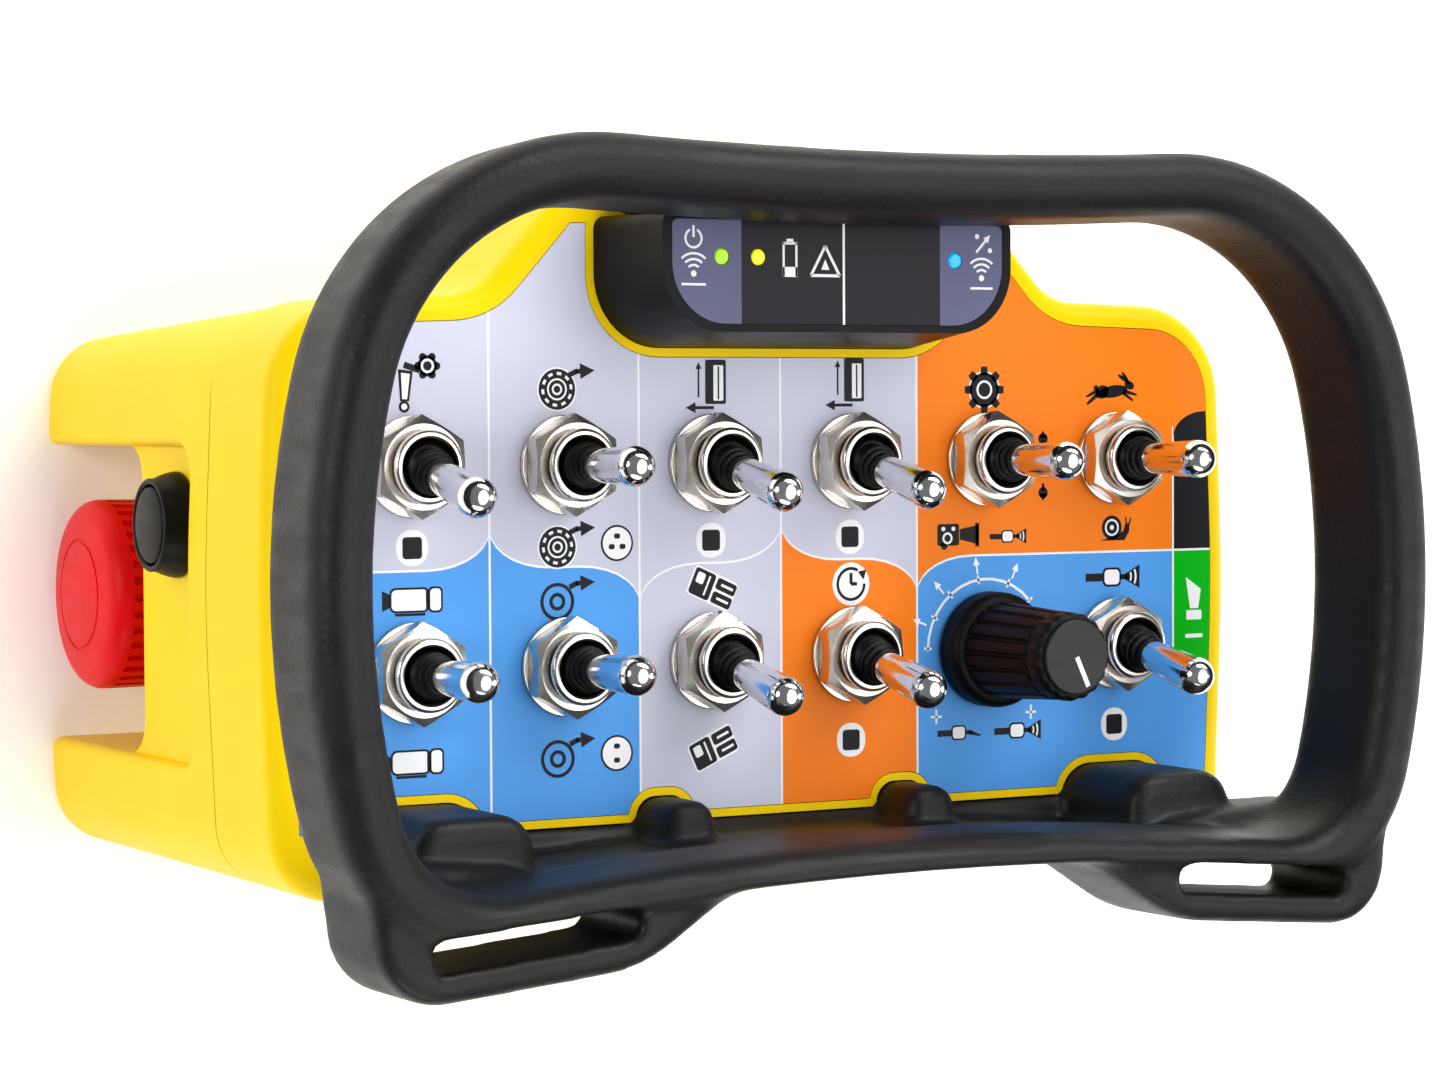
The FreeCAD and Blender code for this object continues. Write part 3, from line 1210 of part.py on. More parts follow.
def stop_head():
    """Mushroom head with a low crown, a ring on its face and a ribbed skirt."""
    radius = STOP_HEAD_DIAMETER / 2
    shoulder = radius - STOP_HEAD_EDGE
    arc_reach = STOP_HEAD_EDGE * math.sqrt(0.5)
    crown_edge = V(shoulder, 0, -STOP_CROWN)
    skirt_top = V(radius, 0, -STOP_CROWN - STOP_HEAD_EDGE)
    edge_middle = V(shoulder + arc_reach, 0, -STOP_CROWN - STOP_HEAD_EDGE + arc_reach)
    skirt_low = V(radius - STOP_SKIRT_TAPER, 0, -STOP_HEAD_DEPTH)
    centre_low = V(0, 0, -STOP_HEAD_DEPTH)
    crown_radius = (shoulder ** 2 + STOP_CROWN ** 2) / (2 * STOP_CROWN)
    crown_middle_x = shoulder / 2
    crown_middle = V(crown_middle_x, 0, -crown_radius + math.sqrt(crown_radius ** 2 - crown_middle_x ** 2))
    wire = Part.Wire([
        Part.Arc(ORIGIN, crown_middle, crown_edge).toShape(),
        Part.Arc(crown_edge, edge_middle, skirt_top).toShape(),
        Part.LineSegment(skirt_top, skirt_low).toShape(),
        Part.LineSegment(skirt_low, centre_low).toShape(),
        Part.LineSegment(centre_low, ORIGIN).toShape(),
    ])
    head = Part.Face(wire).revolve(ORIGIN, Z_DIR, 360)
    notches = []
    for k in range(STOP_RIBS):
        notch = flat_box(radius - STOP_RIB_DEPTH, radius + OVERCUT, -STOP_RIB_WIDTH / 2, STOP_RIB_WIDTH / 2,
                         -STOP_HEAD_DEPTH - OVERCUT, -STOP_HEAD_DEPTH + STOP_RIB_LENGTH)
        notch.rotate(ORIGIN, Z_DIR, 360 * k / STOP_RIBS)
        notches.append(notch)
    head = head.cut(notches[0].multiFuse(notches[1:]))
    below = -STOP_HEAD_DEPTH - OVERCUT
    socket_top = -STOP_HEAD_DEPTH + STOP_SOCKET_DEPTH
    socket = post(0, 0, below, socket_top, STOP_SOCKET_DIAMETER)
    hub = post(0, 0, -STOP_HEAD_DEPTH, socket_top + OVERCUT, STOP_STEM_DIAMETER + 2 * WALL)
    head = head.cut(socket.cut(hub))
    spigot_top = -STOP_HEAD_DEPTH + STOP_STEM_SPIGOT
    head = head.cut(post(0, 0, below, spigot_top, STOP_STEM_DIAMETER + 2 * SHAFT_CLEARANCE))
    return placed_along_x(head, STOP_Y, STOP_Z, STOP_FACE_X)


def stop_depth(x):
    """Depth behind the stop button's face of a plane at a distance x from the middle of the unit."""
    return x - STOP_FACE_X


def stop_plunger():
    """Stem that the head turns on and that slides in the collar."""
    top = -STOP_HEAD_DEPTH + STOP_STEM_SPIGOT
    low = stop_depth(STOP_POCKET_X) - STOP_TUBE_LENGTH / 2
    return placed_along_x(post(0, 0, low, top, STOP_STEM_DIAMETER), STOP_Y, STOP_Z, STOP_FACE_X)


def stop_collar():
    """Fixed collar with its tube through the recess wall, bored for the stem."""
    floor = stop_depth(STOP_POCKET_X)
    collar = post(0, 0, floor, floor + STOP_COLLAR_LENGTH, STOP_COLLAR_DIAMETER)
    collar = collar.makeFillet(STOP_COLLAR_LENGTH / 4, edges_at_z(collar, floor + STOP_COLLAR_LENGTH))
    tube = post(0, 0, floor - STOP_TUBE_LENGTH, floor, STOP_TUBE_DIAMETER)
    shape = fused([collar, tube])
    shape = shape.cut(post(0, 0, floor - STOP_TUBE_LENGTH - OVERCUT, floor + STOP_COLLAR_LENGTH + OVERCUT,
                           STOP_STEM_DIAMETER + 4 * SHAFT_CLEARANCE))
    return placed_along_x(shape, STOP_Y, STOP_Z, STOP_FACE_X)


def stop_ring_nut():
    """Ring nut that clamps the collar from inside the housing."""
    top = stop_depth(STOP_POCKET_X) - WALL
    low = top - STOP_NUT_LENGTH
    ring = post(0, 0, low, top, STOP_NUT_DIAMETER)
    ring = ring.cut(post(0, 0, low - OVERCUT, top + OVERCUT, STOP_TUBE_DIAMETER + 2 * THREAD_CLEARANCE))
    return placed_along_x(ring, STOP_Y, STOP_Z, STOP_FACE_X)


def stop_contact_block():
    """Contact block on the end of the collar tube."""
    top = stop_depth(STOP_POCKET_X) - STOP_TUBE_LENGTH
    half = STOP_BLOCK_SIZE / 2
    block = rounded_box(half, -half, half, STOP_BLOCK_RADIUS, top - STOP_BLOCK_LENGTH, top)
    bore = STOP_STEM_DIAMETER + 2 * STOP_CLEARANCE
    block = block.cut(post(0, 0, top - STOP_TRAVEL - STOP_CLEARANCE, top + OVERCUT, bore))
    return placed_along_x(block, STOP_Y, STOP_Z, STOP_FACE_X)


# Start button, built along Z with the bezel seat at z = 0 and turned into the left recess

def start_bezel():
    """Tapered bezel on the recess floor with its tube through the wall."""
    base = START_BASE_DIAMETER / 2
    rim = START_RIM_DIAMETER / 2
    seat = START_CAP_DIAMETER / 2 + START_CLEARANCE
    tube = START_TUBE_DIAMETER / 2
    stem = START_STEM_DIAMETER / 2 + 2 * SHAFT_CLEARANCE
    floor = START_BEZEL_LENGTH + START_CAP_PROUD - START_CAP_LENGTH - START_TRAVEL - START_CLEARANCE
    shape = revolved([
        (stem, -START_TUBE_LENGTH), (tube, -START_TUBE_LENGTH), (tube, 0), (base, 0),
        (base, START_BEZEL_FOOT), (rim, START_BEZEL_LENGTH), (seat, START_BEZEL_LENGTH),
        (seat, floor), (stem, floor),
    ])
    return placed_along_x(shape, START_Y, START_Z, START_POCKET_X)


def start_cap():
    """Round push cap with a low crown and a stem in the bezel."""
    radius = START_CAP_DIAMETER / 2
    top = START_BEZEL_LENGTH + START_CAP_PROUD
    low = top - START_CAP_LENGTH
    crown_radius = (radius ** 2 + START_CAP_CROWN ** 2) / (2 * START_CAP_CROWN)
    cap = post(0, 0, low, top, START_CAP_DIAMETER)
    cap = cap.common(Part.makeSphere(crown_radius, V(0, 0, top - crown_radius)))
    stem = post(0, 0, START_TRAVEL / 2 - START_TUBE_LENGTH, low, START_STEM_DIAMETER)
    return placed_along_x(fused([cap, stem]), START_Y, START_Z, START_POCKET_X)


def start_switch():
    """Switch block on the end of the bezel tube."""
    half = START_SWITCH_SIZE / 2
    top = -START_TUBE_LENGTH
    block = rounded_box(half, -half, half, START_SWITCH_RADIUS, top - START_SWITCH_LENGTH, top)
    bore = START_STEM_DIAMETER + 2 * START_CLEARANCE
    block = block.cut(post(0, 0, top - START_TRAVEL, top + OVERCUT, bore))
    return placed_along_x(block, START_Y, START_Z, START_POCKET_X)


# Inner pieces

def board_post_places():
    """Posts of the rear housing under the corners of the main board."""
    half_x = BOARD_LENGTH / 2 - BOARD_POST_INSET
    half_y = BOARD_WIDTH / 2 - BOARD_POST_INSET
    return [(x, BOARD_Y + y) for x in (-half_x, half_x) for y in (-half_y, half_y)]


def main_board():
    """Main circuit board on its four posts."""
    return rounded_box(BOARD_LENGTH / 2, BOARD_Y - BOARD_WIDTH / 2, BOARD_Y + BOARD_WIDTH / 2, BOARD_RADIUS,
                       BOARD_Z - BOARD_THICKNESS, BOARD_Z)


def radio_module():
    """Shielded radio module on the main board."""
    return rounded_box(RADIO_LENGTH / 2, BOARD_Y - RADIO_WIDTH / 2, BOARD_Y + RADIO_WIDTH / 2,
                       RADIO_RADIUS, BOARD_Z, BOARD_Z + RADIO_HEIGHT)


def antenna():
    """Rod antenna along the hump, seated against its two saddles."""
    end = V(-ANTENNA_LENGTH / 2, ANTENNA_Y, ANTENNA_Z)
    return Part.makeCylinder(ANTENNA_DIAMETER / 2, ANTENNA_LENGTH, end, X_DIR)


def battery_y():
    """Middle of the rear channel, where the battery bay is."""
    return (RECESS_TOP_Y + RECESS_BOTTOM_Y) / 2


def battery_pack():
    """Battery in its bay, flush with the rear wall, with a shallow finger grip."""
    rear_wall_z, bay_floor_z = battery_places()
    y = battery_y()
    pack = rounded_box(BATTERY_LENGTH / 2, y - BATTERY_WIDTH / 2, y + BATTERY_WIDTH / 2, BATTERY_RADIUS,
                       rear_wall_z, bay_floor_z)
    grip = rounded_box(BATTERY_GRIP_LENGTH / 2, y - BATTERY_GRIP_WIDTH / 2, y + BATTERY_GRIP_WIDTH / 2,
                       BATTERY_RADIUS, rear_wall_z - OVERCUT, rear_wall_z + BATTERY_GRIP_DEPTH)
    return pack.cut(grip)


def screw(length):
    """Pan head screw along Z with its head below z = 0."""
    head = post(0, 0, -SCREW_HEAD_HEIGHT, 0, SCREW_HEAD_DIAMETER)
    head = head.makeFillet(SCREW_HEAD_HEIGHT / 3, edges_at_z(head, -SCREW_HEAD_HEIGHT))
    shank = post(0, 0, 0, length, SCREW_DIAMETER - 2 * SCREW_FIT)
    return fused([head, shank])


def screw_group(places, length):
    """Screws at several places (x, y, head seat) as one group of solids."""
    copies = []
    for x, y, head_z in places:
        copy = screw(length)
        copy.translate(V(x, y, head_z))
        copies.append(copy)
    return Part.makeCompound(copies)


def build_all():
    """Every node by name, in the construction frame."""
    housing_seats = [(x, y, SCREW_WELL_Z) for x, y in housing_screw_places()]
    nodes = {
        "front_housing": front_housing(),
        "rear_housing": rear_housing(),
        "housing_gasket": housing_gasket(),
        "control_plate": control_plate(),
        "panel_foil": panel_foil(),
        "guard_frame": guard_frame(),
        "display_pod": display_pod(),
        "display_window": display_window(),
        "display_board": display_board(),
        "toggle_washers": at_levers(toggle_washer()),
        "toggle_nuts": at_levers(toggle_nut()),
        "toggle_bushings": at_levers(toggle_bushing()),
        "toggle_switch_cases": at_levers(toggle_case()),
        "knob_body": knob_body(),
        "knob_cap": knob_cap(),
        "knob_pointer": knob_pointer(),
        "potentiometer": potentiometer(),
        "potentiometer_shaft": potentiometer_shaft(),
        "potentiometer_nut": potentiometer_nut(),
        "stop_head": stop_head(),
        "stop_plunger": stop_plunger(),
        "stop_collar": stop_collar(),
        "stop_ring_nut": stop_ring_nut(),
        "stop_contact_block": stop_contact_block(),
        "start_cap": start_cap(),
        "start_bezel": start_bezel(),
        "start_switch": start_switch(),
        "main_board": main_board(),
        "radio_module": radio_module(),
        "antenna": antenna(),
        "battery_pack": battery_pack(),
        "housing_screws": screw_group(housing_seats, SCREW_LENGTH),
        "frame_screws": screw_group(frame_screw_places(), FRAME_SCREW_LENGTH),
    }
    for name, x in LAMP_X.items():
        nodes[name] = lamp(x)
    lever = toggle_lever()
    boot = toggle_boot()
    for number, place in enumerate(lever_places(), start=1):
        nodes["toggle_lever_%02d" % number] = at_lever(lever, place)
        nodes["toggle_boot_%02d" % number] = at_lever(boot, place)
    return nodes


def row_shift(frame):
    """Move that centres the unit on the guard frame and lays it on its back at Z = 0."""
    box = frame.optimalBoundingBox(False, False)
    return V(0, -box.Center.y, FOOT_DEPTH)


def main():
    """Builds every node, moves it into its final place and writes it."""
    os.makedirs("parts", exist_ok=True)
    nodes = build_all()
    shift = row_shift(nodes["guard_frame"])
    for name, shape in nodes.items():
        shape.translate(shift)
        shape.exportStep("parts/%s.step" % name)


if __name__ == "__main__":
    main()
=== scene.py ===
"""Looks of a belly-carried radio remote control: finishes, printed panel, display and small hardware.

The unit lies on its back. Panel places are millimetres from the middle of the lever grid: X to the right,
Y towards the display, Z out of the panel.
"""
import json
import logging
import math
from dataclasses import dataclass
from enum import Enum
from typing import Callable, Iterable, Sequence

import bmesh
import bpy
from mathutils import Matrix, Vector

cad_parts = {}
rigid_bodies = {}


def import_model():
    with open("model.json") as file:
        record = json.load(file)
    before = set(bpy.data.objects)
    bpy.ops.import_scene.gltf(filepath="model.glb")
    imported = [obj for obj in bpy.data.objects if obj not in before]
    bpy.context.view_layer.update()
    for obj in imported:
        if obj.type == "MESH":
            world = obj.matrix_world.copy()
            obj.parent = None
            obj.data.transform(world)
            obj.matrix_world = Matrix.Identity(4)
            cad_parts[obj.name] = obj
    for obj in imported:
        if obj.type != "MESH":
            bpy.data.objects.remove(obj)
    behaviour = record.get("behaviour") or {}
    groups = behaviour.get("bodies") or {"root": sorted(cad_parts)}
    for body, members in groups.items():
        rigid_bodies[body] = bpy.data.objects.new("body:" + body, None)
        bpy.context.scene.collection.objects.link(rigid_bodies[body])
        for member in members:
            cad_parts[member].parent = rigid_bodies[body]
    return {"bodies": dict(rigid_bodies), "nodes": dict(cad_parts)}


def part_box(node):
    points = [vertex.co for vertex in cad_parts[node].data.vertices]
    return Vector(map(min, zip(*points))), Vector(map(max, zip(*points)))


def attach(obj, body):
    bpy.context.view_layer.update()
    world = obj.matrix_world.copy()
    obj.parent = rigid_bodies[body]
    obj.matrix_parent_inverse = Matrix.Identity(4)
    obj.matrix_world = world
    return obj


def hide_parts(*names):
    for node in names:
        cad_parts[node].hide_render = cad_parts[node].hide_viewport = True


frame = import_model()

LOG = logging.getLogger("radio_remote")
MM = 0.001
FOIL_BELOW_GRID = 48.2
BASE = "base"

Point = tuple[float, float]
Colour = tuple[float, float, float]


def clear_start_objects() -> None:
    """Removes the objects of the start-up scene, which belong to no piece."""
    kept = set(frame["nodes"].values()) | set(frame["bodies"].values())
    for obj in list(bpy.data.objects):
        if obj not in kept:
            bpy.data.objects.remove(obj)


clear_start_objects()
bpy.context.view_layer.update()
FOIL_LOW, FOIL_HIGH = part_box("panel_foil")
PANEL_ORIGIN = Vector((0.0, FOIL_LOW.y + FOIL_BELOW_GRID * MM, FOIL_HIGH.z))


def on_panel(x: float, y: float, z: float = 0.0) -> Vector:
    """Place in the frame, in metres, of a panel place in millimetres.

    Args:
        x: Millimetres to the right of the grid's middle.
        y: Millimetres towards the display.
        z: Millimetres above the foil.

    Returns:
        The place in the shared frame.
    """
    return PANEL_ORIGIN + Vector((x, y, z)) * MM


def linear(colour: Colour) -> tuple[float, float, float, float]:
    """Linear colour with full alpha of a display colour.

    Args:
        colour: Red, green and blue as shown on a display, 0 to 1.

    Returns:
        The colour that a shader socket takes.
    """
    parts = [c / 12.92 if c <= 0.04045 else ((c + 0.055) / 1.055) ** 2.4 for c in colour]
    return (*parts, 1.0)


def polar(radius: float, angle: float, centre: Point = (0.0, 0.0)) -> Point:
    """Point on a circle.

    Args:
        radius: Radius of the circle.
        angle: Degrees, anticlockwise from the right.
        centre: Middle of the circle.

    Returns:
        The point.
    """
    turn = math.radians(angle)
    return centre[0] + radius * math.cos(turn), centre[1] + radius * math.sin(turn)


def settled(name: str, bm: bmesh.types.BMesh) -> bpy.types.Mesh:
    """Mesh with the content of a working mesh, which is freed.

    Args:
        name: Name of the mesh.
        bm: Working mesh.

    Returns:
        The new mesh.
    """
    mesh = bpy.data.meshes.new(name)
    bm.to_mesh(mesh)
    bm.free()
    return mesh


def linked(name: str, data: bpy.types.ID) -> bpy.types.Object:
    """Object in the scene's collection.

    Args:
        name: Name of the object.
        data: Mesh, light or camera of the object.

    Returns:
        The new object.
    """
    obj = bpy.data.objects.new(name, data)
    bpy.context.scene.collection.objects.link(obj)
    return obj


class NodeDesk:
    """Adds nodes to one tree, with their settings and links."""

    def __init__(self, tree: bpy.types.NodeTree) -> None:
        """Takes the tree to work on."""
        self.tree = tree

    def add(self, kind: str, inputs: dict | None = None, **settings) -> bpy.types.Node:
        """Adds a node.

        Args:
            kind: Blender's name of the node type.
            inputs: Values or sockets by the input's name or number.
            **settings: Properties of the node.

        Returns:
            The new node.
        """
        node = self.tree.nodes.new(kind)
        for key, value in settings.items():
            setattr(node, key, value)
        for key, value in (inputs or {}).items():
            socket = node.inputs[key]
            if isinstance(value, bpy.types.NodeSocket):
                self.tree.links.new(value, socket)
            else:
                socket.default_value = value
        return node


def shader_group(name: str, inputs: dict[str, str], outputs: dict[str, str]) -> bpy.types.NodeTree:
    """New shader group with its sockets.

    Args:
        name: Name of the group.
        inputs: Socket type by input name.
        outputs: Socket type by output name.

    Returns:
        The empty group.
    """
    group = bpy.data.node_groups.new(name, "ShaderNodeTree")
    for key, kind in inputs.items():
        group.interface.new_socket(name=key, in_out="INPUT", socket_type=kind)
    for key, kind in outputs.items():
        group.interface.new_socket(name=key, in_out="OUTPUT", socket_type=kind)
    return group


def moulded_grain() -> bpy.types.NodeTree:
    """Grain of a moulded surface: pebbled height, soft tone clouds and handling smudges.

    Returns:
        The group, with Height, Tone and Smudge between 0 and 1.
    """
    group = shader_group(
        "moulded_grain",
        {"Vector": "NodeSocketVector", "Grain Scale": "NodeSocketFloat", "Cloud Scale": "NodeSocketFloat"},
        {"Height": "NodeSocketFloat", "Tone": "NodeSocketFloat", "Smudge": "NodeSocketFloat"},
    )
    desk = NodeDesk(group)
    entry = desk.add("NodeGroupInput")
    place = entry.outputs["Vector"]
    pebble = desk.add("ShaderNodeTexVoronoi", {"Vector": place, "Scale": entry.outputs["Grain Scale"]},
                      feature="SMOOTH_F1")
    fine = desk.add("ShaderNodeTexNoise", {"Vector": place, "Scale": entry.outputs["Grain Scale"],
                                           "Detail": 4.0, "Roughness": 0.6})
    height = desk.add("ShaderNodeMath", {0: pebble.outputs["Distance"], 1: fine.outputs[0]}, operation="ADD")
    half = desk.add("ShaderNodeMath", {0: height.outputs[0], 1: 0.5}, operation="MULTIPLY")
    cloud = desk.add("ShaderNodeTexNoise", {"Vector": place, "Scale": entry.outputs["Cloud Scale"],
                                            "Detail": 3.0})
    tone = desk.add("ShaderNodeMapRange", {"Value": cloud.outputs[0], "From Min": 0.3, "From Max": 0.7})
    streak_place = desk.add("ShaderNodeMapping", {"Vector": place, "Rotation": (0.3, 0.2, 0.7),
                                                  "Scale": (1, 6, 2)})
    streak = desk.add("ShaderNodeTexNoise", {"Vector": streak_place.outputs[0],
                                             "Scale": entry.outputs["Cloud Scale"], "Detail": 5.0})
    smudge = desk.add("ShaderNodeMapRange", {"Value": streak.outputs[0], "From Min": 0.35, "From Max": 0.7})
    desk.add("NodeGroupOutput", {"Height": half.outputs[0], "Tone": tone.outputs[0],
                                 "Smudge": smudge.outputs[0]})
    return group


def fine_scratches() -> bpy.types.NodeTree:
    """Fine hairlines of a polished or tumbled metal.

    Returns:
        The group, with Height and Haze between 0 and 1.
    """
    group = shader_group(
        "fine_scratches",
        {"Vector": "NodeSocketVector", "Line Scale": "NodeSocketFloat"},
        {"Height": "NodeSocketFloat", "Haze": "NodeSocketFloat"},
    )
    desk = NodeDesk(group)
    entry = desk.add("NodeGroupInput")
    stretched = desk.add("ShaderNodeMapping", {"Vector": entry.outputs["Vector"], "Scale": (1, 1, 14),
                                               "Rotation": (0.4, 0.9, 0.2)})
    lines = desk.add("ShaderNodeTexNoise", {"Vector": stretched.outputs[0], "Detail": 6.0, "Roughness": 0.7,
                                            "Scale": entry.outputs["Line Scale"]})
    haze = desk.add("ShaderNodeTexNoise", {"Vector": entry.outputs["Vector"], "Scale": 160.0, "Detail": 4.0})
    spread = desk.add("ShaderNodeMapRange", {"Value": haze.outputs[0], "From Min": 0.35, "From Max": 0.65})
    desk.add("NodeGroupOutput", {"Height": lines.outputs[0], "Haze": spread.outputs[0]})
    return group


def principled(made: bpy.types.Material) -> bpy.types.Node:
    """The material's principled shader."""
    return made.node_tree.nodes["Principled BSDF"]


@dataclass(frozen=True)
class Finish:
    """Moulded, painted or printed finish with grain, tone clouds and smudges, its pitches in millimetres."""

    name: str
    colour: Colour
    roughness: float
    grain_pitch: float = 0.8
    grain_depth: float = 0.02
    tone: float = 0.06
    smudge: float = 0.08
    cloud_pitch: float = 30.0
    specular: float = 0.5

    def material(self) -> bpy.types.Material:
        """The finish's material, built at first use."""
        found = bpy.data.materials.get(f"finish_{self.name}")
        return found or self.build()

    def textured(self, group: bpy.types.NodeTree, scales: dict[str, float], tone: str, haze: str,
                 rough: tuple[float, float], relief: float) -> bpy.types.Material:
        """Material whose colour, roughness and relief follow a shader group.

        Args:
            group: Shader group with a Height output.
            scales: Values of the group's scale inputs.
            tone: Output that the colour follows.
            haze: Output that the roughness follows.
            rough: Lowest and highest roughness.
            relief: Strength of the bumps.

        Returns:
            The new material.
        """
        made = bpy.data.materials.new(f"finish_{self.name}")
        made.use_nodes = True
        made.diffuse_color = linear(self.colour)
        desk = NodeDesk(made.node_tree)
        shader = principled(made)
        shader.inputs["Specular IOR Level"].default_value = self.specular
        place = desk.add("ShaderNodeTexCoord").outputs["Object"]
        effect = desk.add("ShaderNodeGroup", {"Vector": place, **scales}, node_tree=group).outputs
        dark = linear(tuple(c * (1 - self.tone) for c in self.colour))
        light = linear(tuple(min(1.0, c * (1 + self.tone / 2)) for c in self.colour))
        tint = desk.add("ShaderNodeMix", {0: effect[tone], 6: dark, 7: light}, data_type="RGBA")
        sheen = desk.add("ShaderNodeMapRange", {"Value": effect[haze], "To Min": rough[0],
                                                "To Max": rough[1]})
        bumps = desk.add("ShaderNodeBump", {"Height": effect["Height"], "Distance": self.grain_depth * MM,
                                            "Strength": relief})
        desk.tree.links.new(tint.outputs[2], shader.inputs["Base Color"])
        desk.tree.links.new(sheen.outputs[0], shader.inputs["Roughness"])
        desk.tree.links.new(bumps.outputs[0], shader.inputs["Normal"])
        return made

    def build(self) -> bpy.types.Material:
        """Builds the material.

        Returns:
            The new material.
        """
        scales = {"Grain Scale": 1 / (self.grain_pitch * MM), "Cloud Scale": 1 / (self.cloud_pitch * MM)}
        rough = (self.roughness - self.smudge / 2, self.roughness + self.smudge / 2)
        return self.textured(GRAIN, scales, "Tone", "Smudge", rough, 1.0)


@dataclass(frozen=True)
class MetalFinish(Finish):
    """Polished or plated metal with hairlines and haze."""

    line_pitch: float = 0.25
    relief: float = 0.5

    def build(self) -> bpy.types.Material:
        """Builds the material.

        Returns:
            The new material.
        """
        scales = {"Line Scale": 1 / (self.line_pitch * MM)}
        rough = (self.roughness, self.roughness + self.smudge)
        made = self.textured(SCRATCHES, scales, "Haze", "Haze", rough, self.relief)
        principled(made).inputs["Metallic"].default_value = 1.0
        return made


@dataclass(frozen=True)
class LampFinish(Finish):
    """Finish that glows in its own colour."""

    glow: float = 0.6

    def build(self) -> bpy.types.Material:
        """Builds the material.

        Returns:
            The new material.
        """
        made = super().build()
        inputs = principled(made).inputs
        made.node_tree.links.new(inputs["Base Color"].links[0].from_socket, inputs["Emission Color"])
        inputs["Emission Strength"].default_value = self.glow
        return made


@dataclass(frozen=True)
class BoardFinish(Finish):
    """Lacquered circuit board with copper tracks under the lacquer."""

    field_size: float = 20.0
    track_share: float = 0.03
    shade: float = 0.8
    copper: Colour = (0.25, 0.5, 0.2)

    def build(self) -> bpy.types.Material:
        """Builds the material.

        Returns:
            The new material.
        """
        made = super().build()
        desk = NodeDesk(made.node_tree)
        tracks = desk.add("ShaderNodeTexBrick", {
            "Vector": desk.add("ShaderNodeTexCoord").outputs["Object"], "Scale": 1 / (self.field_size * MM),
            "Color1": linear(self.colour), "Color2": linear(tuple(self.shade * c for c in self.colour)),
            "Mortar": linear(self.copper), "Mortar Size": self.track_share,
        })
        desk.tree.links.new(tracks.outputs[0], principled(made).inputs["Base Color"])
        return made


GRAIN = moulded_grain()
SCRATCHES = fine_scratches()


def ink(name: str, colour: Colour, tone: float, cloud_pitch: float = 40.0, specular: float = 0.12) -> Finish:
    """Finish of one ink of the foil."""
    return Finish(f"foil_{name}", colour, roughness=0.36, grain_pitch=0.35, grain_depth=0.006, tone=tone,
                  smudge=0.05, cloud_pitch=cloud_pitch, specular=specular)


def glass(name: str, colour: Colour, roughness: float) -> Finish:
    """Finish of one field of the display's window."""
    return Finish(f"display_glass_{name}", colour, roughness, grain_pitch=0.5, grain_depth=0.002, tone=0.04,
                  smudge=0.05, cloud_pitch=25.0, specular=0.08)


def lamp(name: str, colour: Colour) -> LampFinish:
    """Finish of one lamp's lens."""
    return LampFinish(f"lamp_{name}", colour, roughness=0.25, grain_pitch=0.5, grain_depth=0.002, tone=0.1,
                      smudge=0.05, cloud_pitch=2.0)


